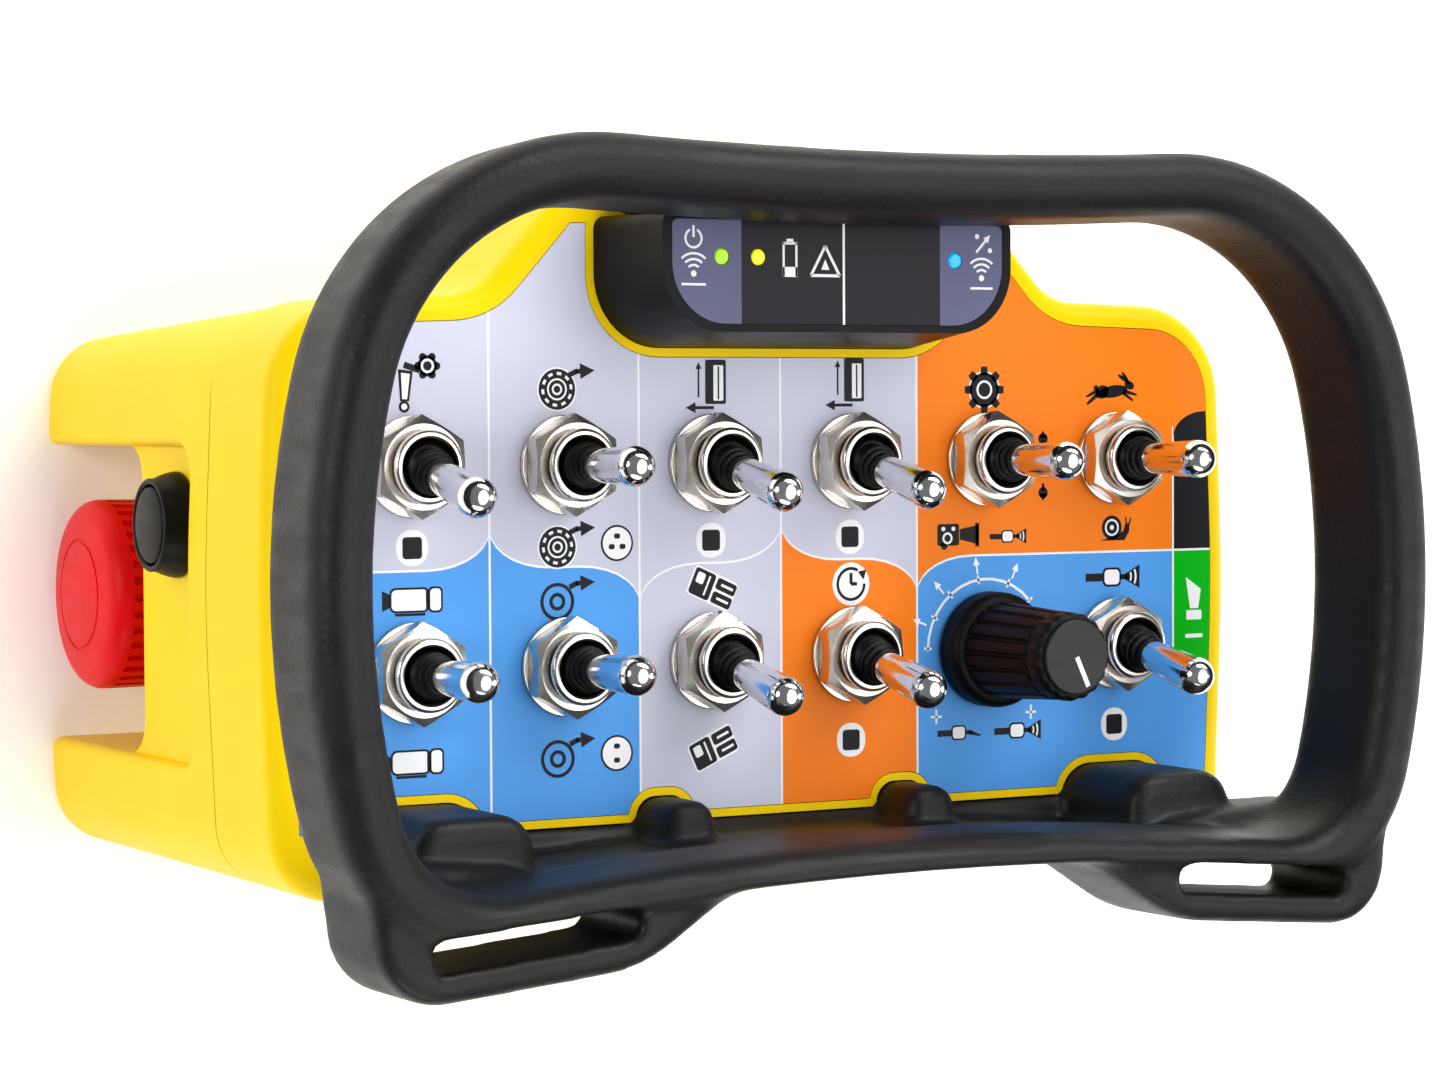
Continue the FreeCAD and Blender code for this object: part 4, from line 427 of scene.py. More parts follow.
class Look(Enum):
    """Every finish of the unit, its measures in the order of Finish."""

    YELLOW_SHELL = Finish("yellow_shell", (0.985, 0.835, 0.0), 0.4, 0.7, 0.01, 0.025, 0.06, 60.0, 0.1)
    BLACK_FRAME = Finish("black_frame", (0.06, 0.057, 0.06), 0.48, 0.9, 0.11, 0.14, 0.12, 25.0, 0.26)
    BLACK_POD = Finish("black_pod", (0.04, 0.037, 0.038), 0.42, 0.5, 0.02, 0.08, 0.1, 20.0, 0.14)
    BLACK_KNOB = Finish("black_knob", (0.03, 0.027, 0.027), 0.48, 0.5, 0.012, 0.08, 0.1, 12.0, 0.14)
    BLACK_CAP = Finish("black_cap", (0.115, 0.11, 0.115), 0.42, 0.5, 0.008, 0.08, 0.1, 12.0, 0.3)
    BLACK_INNER = Finish("black_inner", (0.09, 0.09, 0.095), 0.5, 0.8, 0.02, 0.1, 0.1, 20.0)
    DARK_RUBBER = Finish("dark_rubber", (0.03, 0.028, 0.028), 0.4, 0.4, 0.012, 0.15, 0.12, 8.0, 0.22)
    RED_CAP = Finish("red_cap", (0.90, 0.045, 0.085), 0.4, 0.6, 0.01, 0.05, 0.08, 18.0, 0.12)
    GLASS_BLACK = glass("black", (0.16, 0.155, 0.175), 0.2)
    GLASS_GREY = glass("grey", (0.40, 0.41, 0.53), 0.22)
    INK_GREY = ink("grey", (0.81, 0.815, 0.885), 0.015)
    INK_ORANGE = ink("orange", (0.995, 0.51, 0.10), 0.02)
    INK_BLUE = ink("blue", (0.33, 0.63, 0.93), 0.02)
    INK_GREEN = ink("green", (0.0, 0.72, 0.08), 0.02, specular=0.06)
    INK_CHARCOAL = ink("charcoal", (0.11, 0.115, 0.13), 0.03, specular=0.08)
    INK_WHITE = ink("white", (0.97, 0.97, 0.98), 0.01)
    INK_BLACK = ink("black", (0.09, 0.095, 0.115), 0.05, cloud_pitch=15.0)
    WHITE_MARK = Finish("white_mark", (0.95, 0.95, 0.95), 0.4, 0.5, 0.004, 0.02, 0.05, 10.0)
    NICKEL = MetalFinish("bright_nickel", (0.91, 0.885, 0.85), 0.19, 0.8, 0.002, 0.05, 0.08)
    CHROME = MetalFinish("lever_chrome", (0.90, 0.90, 0.91), 0.09, 0.8, 0.001, 0.03, 0.05)
    STEEL = MetalFinish("screw_steel", (0.72, 0.71, 0.70), 0.28, 0.8, 0.004, 0.1, 0.12)
    PLATE = MetalFinish("plate_metal", (0.78, 0.78, 0.79), 0.32, 0.8, 0.004, 0.08, 0.12)
    BOARD = BoardFinish("circuit_board", (0.03, 0.30, 0.13), 0.35, 0.5, 0.006, 0.1, 0.08, 20.0)
    LAMP_GREEN = lamp("green", (0.62, 0.88, 0.04))
    LAMP_YELLOW = lamp("yellow", (0.99, 0.90, 0.02))
    LAMP_BLUE = lamp("blue", (0.02, 0.66, 0.98))

    def material(self) -> bpy.types.Material:
        """Material of this finish."""
        return self.value.material()


def dress(looks: dict[Look, Sequence[str]]) -> None:
    """Gives CAD nodes their finishes.

    Args:
        looks: Names of the nodes by the finish that all their slots get.
    """
    for look, nodes in looks.items():
        for node in nodes:
            materials = frame["nodes"][node].data.materials
            materials.clear()
            materials.append(look.material())
            LOG.info("dressed %s in %s", node, look.value.name)


def add_piece(name: str, shape: bmesh.types.BMesh | bpy.types.Mesh, looks: Sequence[Look], body: str,
              nodes: Iterable[str] = (), smooth_angle: float | None = None) -> None:
    """Turns a finished shape into a piece that rides on a body.

    Args:
        name: Name of the piece.
        shape: Mesh in the shared frame, or a working mesh, which is freed.
        looks: Finishes, in the order of the faces' material numbers.
        body: Body that carries the piece.
        nodes: CAD nodes that the piece stands for.
        smooth_angle: Faces are shaded smooth across edges flatter than this many degrees.
    """
    mesh = shape if isinstance(shape, bpy.types.Mesh) else settled(name, shape)
    mesh.update()
    for look in looks:
        mesh.materials.append(look.material())
    if smooth_angle is not None:
        mesh.polygons.foreach_set("use_smooth", [True] * len(mesh.polygons))
        mesh.set_sharp_from_angle(angle=math.radians(smooth_angle))
    obj = linked(name, mesh)
    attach(obj, body)
    if nodes:
        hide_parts(*nodes)
    LOG.info("built %s on %s with %d faces", name, body, len(mesh.polygons))


def merged_copy(node: str) -> bmesh.types.BMesh:
    """Copy of a CAD node's mesh with its loose triangles joined.

    Args:
        node: Name of the node.

    Returns:
        The joined mesh.
    """
    bm = bmesh.new()
    bm.from_mesh(frame["nodes"][node].data)
    bmesh.ops.remove_doubles(bm, verts=bm.verts, dist=1e-6)
    return bm


def cut_along(bm: bmesh.types.BMesh, place: Vector, normal: Vector,
              inside: Callable[[Vector], bool] | None = None) -> None:
    """Cuts a mesh along a plane without taking anything away.

    Args:
        bm: Mesh to cut.
        place: Point of the plane.
        normal: Direction across the plane.
        inside: Test on a face's middle that limits the cut.
    """
    faces = [f for f in bm.faces if inside is None or inside(f.calc_center_median())]
    edges = {e for f in faces for e in f.edges}
    verts = {v for f in faces for v in f.verts}
    bmesh.ops.bisect_plane(bm, geom=[*faces, *edges, *verts], dist=1e-7, plane_co=place, plane_no=normal)


def turned(profile: Sequence[Point], steps: int,
           shape: Callable[[int, Point, float], Point] | None = None) -> bmesh.types.BMesh:
    """Closed solid turned about Z from a profile that starts and ends on the axis, or runs in a ring.

    Args:
        profile: Radius and height in millimetres, in order along the surface.
        steps: Points round the axis.
        shape: Radius and height at a profile row, from its number, its point and the angle in turns.

    Returns:
        The mesh, in metres, about its own axis.
    """
    bm = bmesh.new()
    rows = []
    for number, point in enumerate(profile):
        if point[0] <= 0:
            rows.append([bm.verts.new((0, 0, point[1] * MM))])
            continue
        row = []
        for k in range(steps):
            radius, height = shape(number, point, k / steps) if shape else point
            x, y = polar(radius, 360 * k / steps)
            row.append(bm.verts.new((x * MM, y * MM, height * MM)))
        rows.append(row)
    pairs = list(zip(rows, rows[1:]))
    if profile[0][0] > 0:
        pairs.append((rows[-1], rows[0]))
    for low, high in pairs:
        for k in range(steps):
            j = (k + 1) % steps
            if len(low) == 1:
                bm.faces.new((low[0], high[j], high[k]))
            elif len(high) == 1:
                bm.faces.new((low[k], low[j], high[0]))
            else:
                bm.faces.new((low[k], low[j], high[j], high[k]))
    bmesh.ops.recalc_face_normals(bm, faces=bm.faces)
    return bm


def rounded_corner(centre: Point, radius: float, start: float, end: float, steps: int = 5) -> list[Point]:
    """Profile points of a rounded edge.

    Args:
        centre: Middle of the rounding, as radius and height.
        radius: Radius of the rounding.
        start: First angle in degrees, from the outward direction towards the top.
        end: Last angle in degrees.
        steps: Straight runs along the rounding.

    Returns:
        The points from start to end.
    """
    return [polar(radius, start + (end - start) * k / steps, centre) for k in range(steps + 1)]


class Spreader:
    """Geometry nodes that set one shape on many points."""

    SEED = 7

    def __init__(self) -> None:
        """Builds the node group with its named inputs."""
        self.group = bpy.data.node_groups.new("spread_on_points", "GeometryNodeTree")
        face = self.group.interface
        face.new_socket(name="Points", in_out="INPUT", socket_type="NodeSocketGeometry")
        self.shape_input = face.new_socket(name="Shape", in_out="INPUT", socket_type="NodeSocketObject")
        self.finish_input = face.new_socket(name="Finish", in_out="INPUT", socket_type="NodeSocketMaterial")
        self.play_input = face.new_socket(name="Turn Play", in_out="INPUT", socket_type="NodeSocketFloat")
        face.new_socket(name="Geometry", in_out="OUTPUT", socket_type="NodeSocketGeometry")
        desk = NodeDesk(self.group)
        entry = desk.add("NodeGroupInput")
        shape = desk.add("GeometryNodeObjectInfo", {"Object": entry.outputs["Shape"]})
        back = desk.add("ShaderNodeMath", {0: entry.outputs["Turn Play"], 1: -1.0}, operation="MULTIPLY")
        play = desk.add("FunctionNodeRandomValue", {2: back.outputs[0], 3: entry.outputs["Turn Play"],
                                                    "Seed": self.SEED}, data_type="FLOAT")
        euler = desk.add("ShaderNodeCombineXYZ", {"Z": play.outputs[1]})
        turn = desk.add("FunctionNodeEulerToRotation", {"Euler": euler.outputs[0]})
        spread = desk.add("GeometryNodeInstanceOnPoints", {
            "Points": entry.outputs["Points"], "Instance": shape.outputs["Geometry"],
            "Rotation": turn.outputs[0]})
        real = desk.add("GeometryNodeRealizeInstances", {"Geometry": spread.outputs[0]})
        finish = desk.add("GeometryNodeSetMaterial", {"Geometry": real.outputs[0],
                                                      "Material": entry.outputs["Finish"]})
        desk.add("NodeGroupOutput", {"Geometry": finish.outputs[0]})

    def spread(self, name: str, bm: bmesh.types.BMesh, places: Sequence[Vector], look: Look,
               play: float = 0.0) -> bpy.types.Mesh:
        """Sets a shape on places in the frame.

        Args:
            name: Name of the new mesh.
            bm: Shape about its own origin; it is freed.
            places: Where the copies stand.
            look: Finish of the copies.
            play: Degrees that a copy may be turned either way about Z.

        Returns:
            One plain mesh with every copy.
        """
        shape = linked(f"{name}_shape", settled(f"{name}_shape", bm))
        point_mesh = bpy.data.meshes.new(f"{name}_points")
        point_mesh.from_pydata([tuple(place) for place in places], [], [])
        points = linked(f"{name}_points", point_mesh)
        modifier = points.modifiers.new("spread", "NODES")
        modifier.node_group = self.group
        modifier[self.shape_input.identifier] = shape
        modifier[self.finish_input.identifier] = look.material()
        modifier[self.play_input.identifier] = math.radians(play)
        mesh = plain_mesh(name, points)
        for obj in (shape, points):
            bpy.data.objects.remove(obj)
        return mesh


def plain_mesh(name: str, obj: bpy.types.Object) -> bpy.types.Mesh:
    """Mesh of an object with its modifiers worked in.

    Args:
        name: Name of the new mesh.
        obj: Object with modifiers.

    Returns:
        A mesh of its own.
    """
    graph = bpy.context.evaluated_depsgraph_get()
    mesh = bpy.data.meshes.new_from_object(obj.evaluated_get(graph), depsgraph=graph)
    mesh.name = name
    return mesh


class Stencil:
    """Flat shapes of one ink, as thin closed plates on a plane, in panel millimetres."""

    FIRST_LAYER = 0.03
    LAYER_STEP = 0.02
    CORNER_RUNS = 5

    def __init__(self, plane: float) -> None:
        """Starts an empty stencil.

        Args:
            plane: Height of the carrying surface above the foil.
        """
        self.bm = bmesh.new()
        self.plane = plane
        self.spot = Matrix.Identity(4)

    def at(self, x: float, y: float, turn: float = 0.0, scale: float = 1.0) -> "Stencil":
        """Sets where the next shapes go.

        Args:
            x: Middle of the sign.
            y: Middle of the sign.
            turn: Degrees, anticlockwise.
            scale: Size against the drawn one.

        Returns:
            The stencil itself.
        """
        self.spot = (Matrix.Translation((x, y, 0)) @ Matrix.Rotation(math.radians(turn), 4, "Z")
                     @ Matrix.Scale(scale, 4))
        return self

    def row(self, points: Sequence[Point], layer: int | None = None) -> list[bmesh.types.BMVert]:
        """Corners of a plate's top, or of its underside if no layer is given.

        Args:
            points: Corners in order.
            layer: How high the plate reaches.

        Returns:
            The new corners.
        """
        z = self.plane if layer is None else self.plane + self.FIRST_LAYER + self.LAYER_STEP * layer
        spots = [self.spot @ Vector((x, y, 0)) for x, y in points]
        return [self.bm.verts.new(on_panel(p.x, p.y, z)) for p in spots]

    def strip(self, outer: Sequence[Point], inner: Sequence[Point], layer: int, closed: bool) -> None:
        """Plate between two lines with the same count of points.

        Args:
            outer: Points of one side.
            inner: Points of the other side.
            layer: How high the plate reaches.
            closed: Whether the strip runs back into its start.
        """
        low_out, low_in = self.row(outer), self.row(inner)
        high_out, high_in = self.row(outer, layer), self.row(inner, layer)
        count = len(outer)
        new_faces = []
        for i in range(count if closed else count - 1):
            j = (i + 1) % count
            for a, b in ((high_out, high_in), (low_in, low_out), (low_out, high_out), (high_in, low_in)):
                new_faces.append(self.bm.faces.new((a[i], a[j], b[j], b[i])))
        if not closed:
            for i in (0, count - 1):
                new_faces.append(self.bm.faces.new((low_out[i], low_in[i], high_in[i], high_out[i])))
        bmesh.ops.recalc_face_normals(self.bm, faces=new_faces)

    def polygon(self, points: Sequence[Point], layer: int = 1) -> None:
        """Plate inside a closed outline.

        Args:
            points: Corners in order.
            layer: How high the plate reaches.
        """
        low, high = self.row(points), self.row(points, layer)
        count = len(points)
        new_faces = [self.bm.faces.new(high), self.bm.faces.new(low[::-1])]
        for i in range(count):
            j = (i + 1) % count
            new_faces.append(self.bm.faces.new((low[i], low[j], high[j], high[i])))
        bmesh.ops.recalc_face_normals(self.bm, faces=new_faces)

    def oval(self, x: float, y: float, rx: float, ry: float, turn: float = 0.0, layer: int = 1,
             steps: int = 28) -> None:
        """Filled oval.

        Args:
            x: Middle.
            y: Middle.
            rx: Half length.
            ry: Half width.
            turn: Degrees, anticlockwise.
            layer: How high the plate reaches.
            steps: Corners of the outline.
        """
        c, s = math.cos(math.radians(turn)), math.sin(math.radians(turn))
        points = []
        for k in range(steps):
            a = 2 * math.pi * k / steps
            u, v = rx * math.cos(a), ry * math.sin(a)
            points.append((x + u * c - v * s, y + u * s + v * c))
        self.polygon(points, layer)

    def disc(self, x: float, y: float, radius: float, layer: int = 1) -> None:
        """Filled circle."""
        self.oval(x, y, radius, radius, 0.0, layer)

    def ring(self, x: float, y: float, outer: float, inner: float, layer: int = 1,
             start: float = 0.0, sweep: float = 360.0) -> None:
        """Ring or part of one.

        Args:
            x: Middle.
            y: Middle.
            outer: Outer radius.
            inner: Inner radius.
            layer: How high the plate reaches.
            start: First angle in degrees.
            sweep: Length in degrees, anticlockwise.
        """
        full = abs(sweep) >= 360.0
        steps = max(4, int(abs(sweep) / 10))
        angles = [start + sweep * k / steps for k in range(steps if full else steps + 1)]
        sides = [[polar(radius, angle, (x, y)) for angle in angles] for radius in (outer, inner)]
        self.strip(*sides, layer, full)

    def bar(self, x0: float, y0: float, x1: float, y1: float, width: float, layer: int = 1,
            end_width: float | None = None) -> None:
        """Straight stroke, tapered if an end width is given.

        Args:
            x0: Start.
            y0: Start.
            x1: End.
            y1: End.
            width: Width at the start.
            layer: How high the plate reaches.
            end_width: Width at the end.
        """
        length = math.hypot(x1 - x0, y1 - y0)
        nx, ny = -(y1 - y0) / length / 2, (x1 - x0) / length / 2
        last = width if end_width is None else end_width
        self.polygon([(x0 + nx * width, y0 + ny * width), (x0 - nx * width, y0 - ny * width),
                      (x1 - nx * last, y1 - ny * last), (x1 + nx * last, y1 + ny * last)], layer)

    def arrow(self, x0: float, y0: float, x1: float, y1: float, width: float, head: float,
              layer: int = 1) -> None:
        """Straight arrow with a solid head.

        Args:
            x0: Start.
            y0: Start.
            x1: Tip.
            y1: Tip.
            width: Width of the shaft.
            head: Length and width of the head.
            layer: How high the plate reaches.
        """
        length = math.hypot(x1 - x0, y1 - y0)
        k = (length - head) / length
        nx, ny = x0 + (x1 - x0) * k, y0 + (y1 - y0) * k
        self.bar(x0, y0, nx, ny, width, layer)
        self.bar(nx, ny, x1, y1, head, layer, width * 0.1)

    def rounded(self, x: float, y: float, width: float, height: float, radius: float, layer: int = 1) -> None:
        """Rectangle with round corners.

        Args:
            x: Middle.
            y: Middle.
            width: Whole width.
            height: Whole height.
            radius: Corner radius.
            layer: How high the plate reaches.
        """
        points = []
        for k, (sx, sy) in enumerate(((1, 1), (-1, 1), (-1, -1), (1, -1))):
            centre = (x + sx * (width / 2 - radius), y + sy * (height / 2 - radius))
            points += [polar(radius, 90 * k + 90 * step / self.CORNER_RUNS, centre)
                       for step in range(self.CORNER_RUNS + 1)]
        self.polygon(points, layer)

    def piece(self, name: str, look: Look) -> None:
        """Finishes the stencil as a piece on the base."""
        add_piece(name, self.bm, [look], BASE)


@dataclass
class Studio:
    """Camera, floor and lights."""

    photo_width: float = 1447.0
    focal_pixels: float = 3660.0
    sensor: float = 36.0
    yaw: float = 29.5
    pitch: float = 2.04
    roll: float = 0.29
    offset: tuple[float, float, float] = (11.67, -3.2, -720.85)
    floor_size: float = 8.0
    world_strength: float = 0.2
    floor_finish: Finish = LampFinish("floor_white", (0.98, 0.98, 0.98), roughness=0.7, grain_pitch=4.0,
                                      grain_depth=0.0, tone=0.005, smudge=0.05, cloud_pitch=900.0, glow=0.2)
    boxes: tuple[tuple, ...] = (
        ("key_left", (-1.45, 0.35, 0.55), (0.7, 0.6), 8.2),
        ("top_panel", (0.4, -0.05, 1.5), (2.3, 1.7), 24.5),
        ("back_top", (0.6, 1.3, 0.8), (1.7, 0.5), 20.0),
        ("fill_right", (1.45, -0.1, 0.55), (0.5, 1.0), 4.5),
        ("low_front", (-0.2, -1.2, 0.65), (1.4, 0.5), 7.5),
    )

    def camera(self) -> None:
        """Sets the camera at the photograph's viewing angle."""
        turn = (Matrix.Rotation(math.radians(self.roll), 3, "Z")
                @ Matrix.Rotation(math.radians(self.pitch), 3, "X")
                @ Matrix.Rotation(math.radians(self.yaw), 3, "Y"))
        place = turn.transposed() @ -Vector(self.offset)
        data = bpy.data.cameras.new("camera")
        data.sensor_fit = "HORIZONTAL"
        data.sensor_width = self.sensor
        data.lens = self.focal_pixels * self.sensor / self.photo_width
        obj = linked("camera", data)
        obj.matrix_world = Matrix.Translation(on_panel(*place)) @ turn.transposed().to_4x4()
        bpy.context.scene.camera = obj

    def floor(self) -> None:
        """Lays a plain pale floor under the unit."""
        bm = bmesh.new()
        bmesh.ops.create_grid(bm, x_segments=1, y_segments=1, size=self.floor_size / 2)
        mesh = settled("floor", bm)
        mesh.materials.append(self.floor_finish.material())
        linked("floor", mesh)

    def softbox(self, name: str, place: tuple[float, float, float], size: tuple[float, float],
                power: float) -> None:
        """Large soft light that faces the unit.

        Args:
            name: Name of the light.
            place: Metres from the panel's middle.
            size: Width and height in metres.
            power: Watts.
        """
        data = bpy.data.lights.new(name, "AREA")
        data.shape = "ELLIPSE"
        data.size, data.size_y = size
        data.energy = power
        obj = linked(name, data)
        spot = PANEL_ORIGIN + Vector(place)
        aim = (PANEL_ORIGIN - spot).to_track_quat("-Z", "Y")
        obj.matrix_world = Matrix.Translation(spot) @ aim.to_matrix().to_4x4()

    def lights(self) -> None:
        """Sets the world and the soft lights."""
        world = bpy.data.worlds.new("studio")
        bpy.context.scene.world = world
        world.use_nodes = True
        back = world.node_tree.nodes["Background"]
        back.inputs["Color"].default_value = (1.0, 1.0, 1.0, 1.0)
        back.inputs["Strength"].default_value = self.world_strength
        for name, place, size, power in self.boxes:
            self.softbox(name, place, size, power)
        bpy.context.scene.view_settings.view_transform = "Standard"

    def build(self) -> None:
        """Builds the whole stage."""
        self.camera()
        self.floor()
        self.lights()


@dataclass
class Housing:
    """Yellow shells with the seal between them."""

    def build(self) -> None:
        """Dresses the shells and the seal."""
        dress({Look.YELLOW_SHELL: ["front_housing", "rear_housing"], Look.BLACK_INNER: ["housing_gasket"]})


@dataclass
class PrintedFoil:
    """Foil with its coloured zones and the white lines between them."""

    separators: tuple[float, ...] = (-64.0, -32.0, -0.4, 31.3, 94.9)
    row_line: float = -0.2
    cusps: tuple[Point, ...] = ((-64.0, 7.4), (-32.0, -7.4), (-0.4, 7.4), (31.3, -7.2))
    cusp_reach: float = 13.0
    cusp_steps: int = 7
    line_width: float = 0.45
    strip_top: float = 28.6
    strip_radius: float = 8.0
    strip_drop: float = 5.6
    strip_bottom: float = -28.0
    foil_limit: float = 110.0
    line_slack: float = 1.01
    shortest_run: float = 1e-6

    @staticmethod
    def quarter(inward: float) -> float:
        """Rise of a quarter circle at a share of its radius."""
        return 1 - math.sqrt(max(0.0, 1 - inward * inward))

    def row_height(self, x: float) -> float:
        """Height of the line between the upper and the lower zones.

        Args:
            x: Place across the panel.

        Returns:
            The line's height on the panel.
        """
        for cusp_x, rise in self.cusps:
            inward = 1 - abs(x - cusp_x) / self.cusp_reach
            if inward > 0:
                return self.row_line + rise * self.quarter(inward)
        return self.row_line

    def strip_height(self, x: float) -> float:
        """Upper end of the dark strip, rounded at its left corner.

        Args:
            x: Place across the panel.

        Returns:
            The strip's end on the panel.
        """
        inward = 1 - (x - self.separators[-1]) / self.strip_radius
        return self.strip_top - self.strip_drop * self.quarter(max(0.0, inward))

    def breaks(self) -> list[float]:
        """Places across the panel where the curved lines are cut into straight runs.

        Returns:
            The sorted places.
        """
        steps = [1 - math.cos(math.pi / 2 * k / self.cusp_steps) for k in range(1, self.cusp_steps + 1)]
        found = [-self.foil_limit, self.foil_limit, *self.separators]
        for cusp_x, _ in self.cusps:
            for step in steps:
                found += [cusp_x - self.cusp_reach * step, cusp_x + self.cusp_reach * step]
        found += [self.separators[-1] + self.strip_radius * step for step in steps]
        return sorted(found)

    def cut_line(self, bm: bmesh.types.BMesh, x0: float, x1: float, height: Callable[[float], float]) -> None:
        """Cuts the foil along both sides of one straight run of a line.

        Args:
            bm: Foil mesh.
            x0: Left end.
            x1: Right end.
            height: Height of the line at a place across the panel.
        """
        low, high = on_panel(x0, 0).x, on_panel(x1, 0).x
        for shift in (-self.line_width / 2, self.line_width / 2):
            start = on_panel(x0, height(x0) + shift)
            end = on_panel(x1, height(x1) + shift)
            run = end - start
            cut_along(bm, start, Vector((-run.y, run.x, 0)), lambda c: low < c.x < high)

    def ink_at(self, x: float, y: float) -> Look:
        """Ink of the foil at a place.

        Args:
            x: Place across the panel.
            y: Place up the panel.

        Returns:
            The ink.
        """
        half = self.line_width / 2
        right = self.separators[-1]
        in_strip = x > right
        if any(abs(x - line) < half for line in self.separators[:-1]):
            return Look.INK_WHITE
        if abs(x - right) < half and self.strip_bottom < y < self.strip_height(right):
            return Look.INK_WHITE
        if abs(y - self.row_height(x)) < half * self.line_slack:
            return Look.INK_WHITE
        if y > self.row_height(x):
            if in_strip and y < self.strip_height(x):
                return Look.INK_CHARCOAL
            return Look.INK_GREY if x < self.separators[3] else Look.INK_ORANGE
        if in_strip:
            return Look.INK_GREEN if y > self.strip_bottom else Look.INK_BLUE
        if x < self.separators[1] or x > self.separators[3]:
            return Look.INK_BLUE
        return Look.INK_GREY if x < self.separators[2] else Look.INK_ORANGE

    def build(self) -> None:
        """Cuts the foil into its zones and inks each face."""
        bm = merged_copy("panel_foil")
        for line in self.separators:
            for shift in (-self.line_width / 2, self.line_width / 2):
                cut_along(bm, on_panel(line + shift, 0), Vector((1, 0, 0)))
        places = self.breaks()
        for place in places[1:-1]:
            cut_along(bm, on_panel(place, 0), Vector((1, 0, 0)))
        for height, first in ((self.row_height, places[0]), (self.strip_height, self.separators[-1])):
            for x0, x1 in zip(places, places[1:]):
                if x0 >= first and x1 - x0 > self.shortest_run:
                    self.cut_line(bm, x0, x1, height)
        right = on_panel(self.separators[-1], 0).x
        cut_along(bm, on_panel(0, self.strip_bottom), Vector((0, 1, 0)), lambda c: c.x > right)
        looks = [look for look in Look if look.name.startswith("INK_") and look is not Look.INK_BLACK]
        for face in bm.faces:
            middle = (face.calc_center_median() - PANEL_ORIGIN) / MM
            face.material_index = looks.index(self.ink_at(middle.x, middle.y))
        add_piece("printed_foil", bm, looks, BASE, ["panel_foil"])


PULL_ARROW = (("bar", 2.6, 2.7, 4.4, 3.5, 1.0), ("arrow", 4.0, 3.4, 8.0, 3.6, 0.9, 3.0))
NOZZLE_BODY = (("bar", -6.0, 0, -2.0, 0, 1.5), ("rounded", 0, 0, 4.2, 3.6, 1.0), ("bar", 1.8, 0, 3.6, 0, 1.0))
NOZZLE_FACE = (("rounded", 0, 0, 3.4, 2.8, 0.8, 2),)
SCALE_RADIUS = 14.2


def radial(shape: str, angles: Iterable[float], start: float, end: float, *measures: float) -> list[tuple]:
    """Strokes that stand round a middle like rays.

    Args:
        shape: Name of the stroke, bar or arrow.
        angles: Degrees, anticlockwise from the right.
        start: Radius where the strokes start.
        end: Radius where they end.
        *measures: Further measures of the stroke.

    Returns:
        The strokes.
    """
    return [(shape, *polar(start, angle), *polar(end, angle), *measures) for angle in angles]


def counter(marks: int) -> tuple[tuple, tuple]:
    """Black and white strokes of a white disc with a few marks.

    Args:
        marks: How many marks stand in it.

    Returns:
        The strokes of both inks.
    """
    spots = [polar(1.35, 90 + 360 * k / marks) for k in range(marks)]
    black = (("disc", 0, 0, 3.5), *(("rounded", *spot, 1.3, 1.0, 0.4, 3) for spot in spots))
    return black, (("disc", 0, 0, 3.1, 2),)


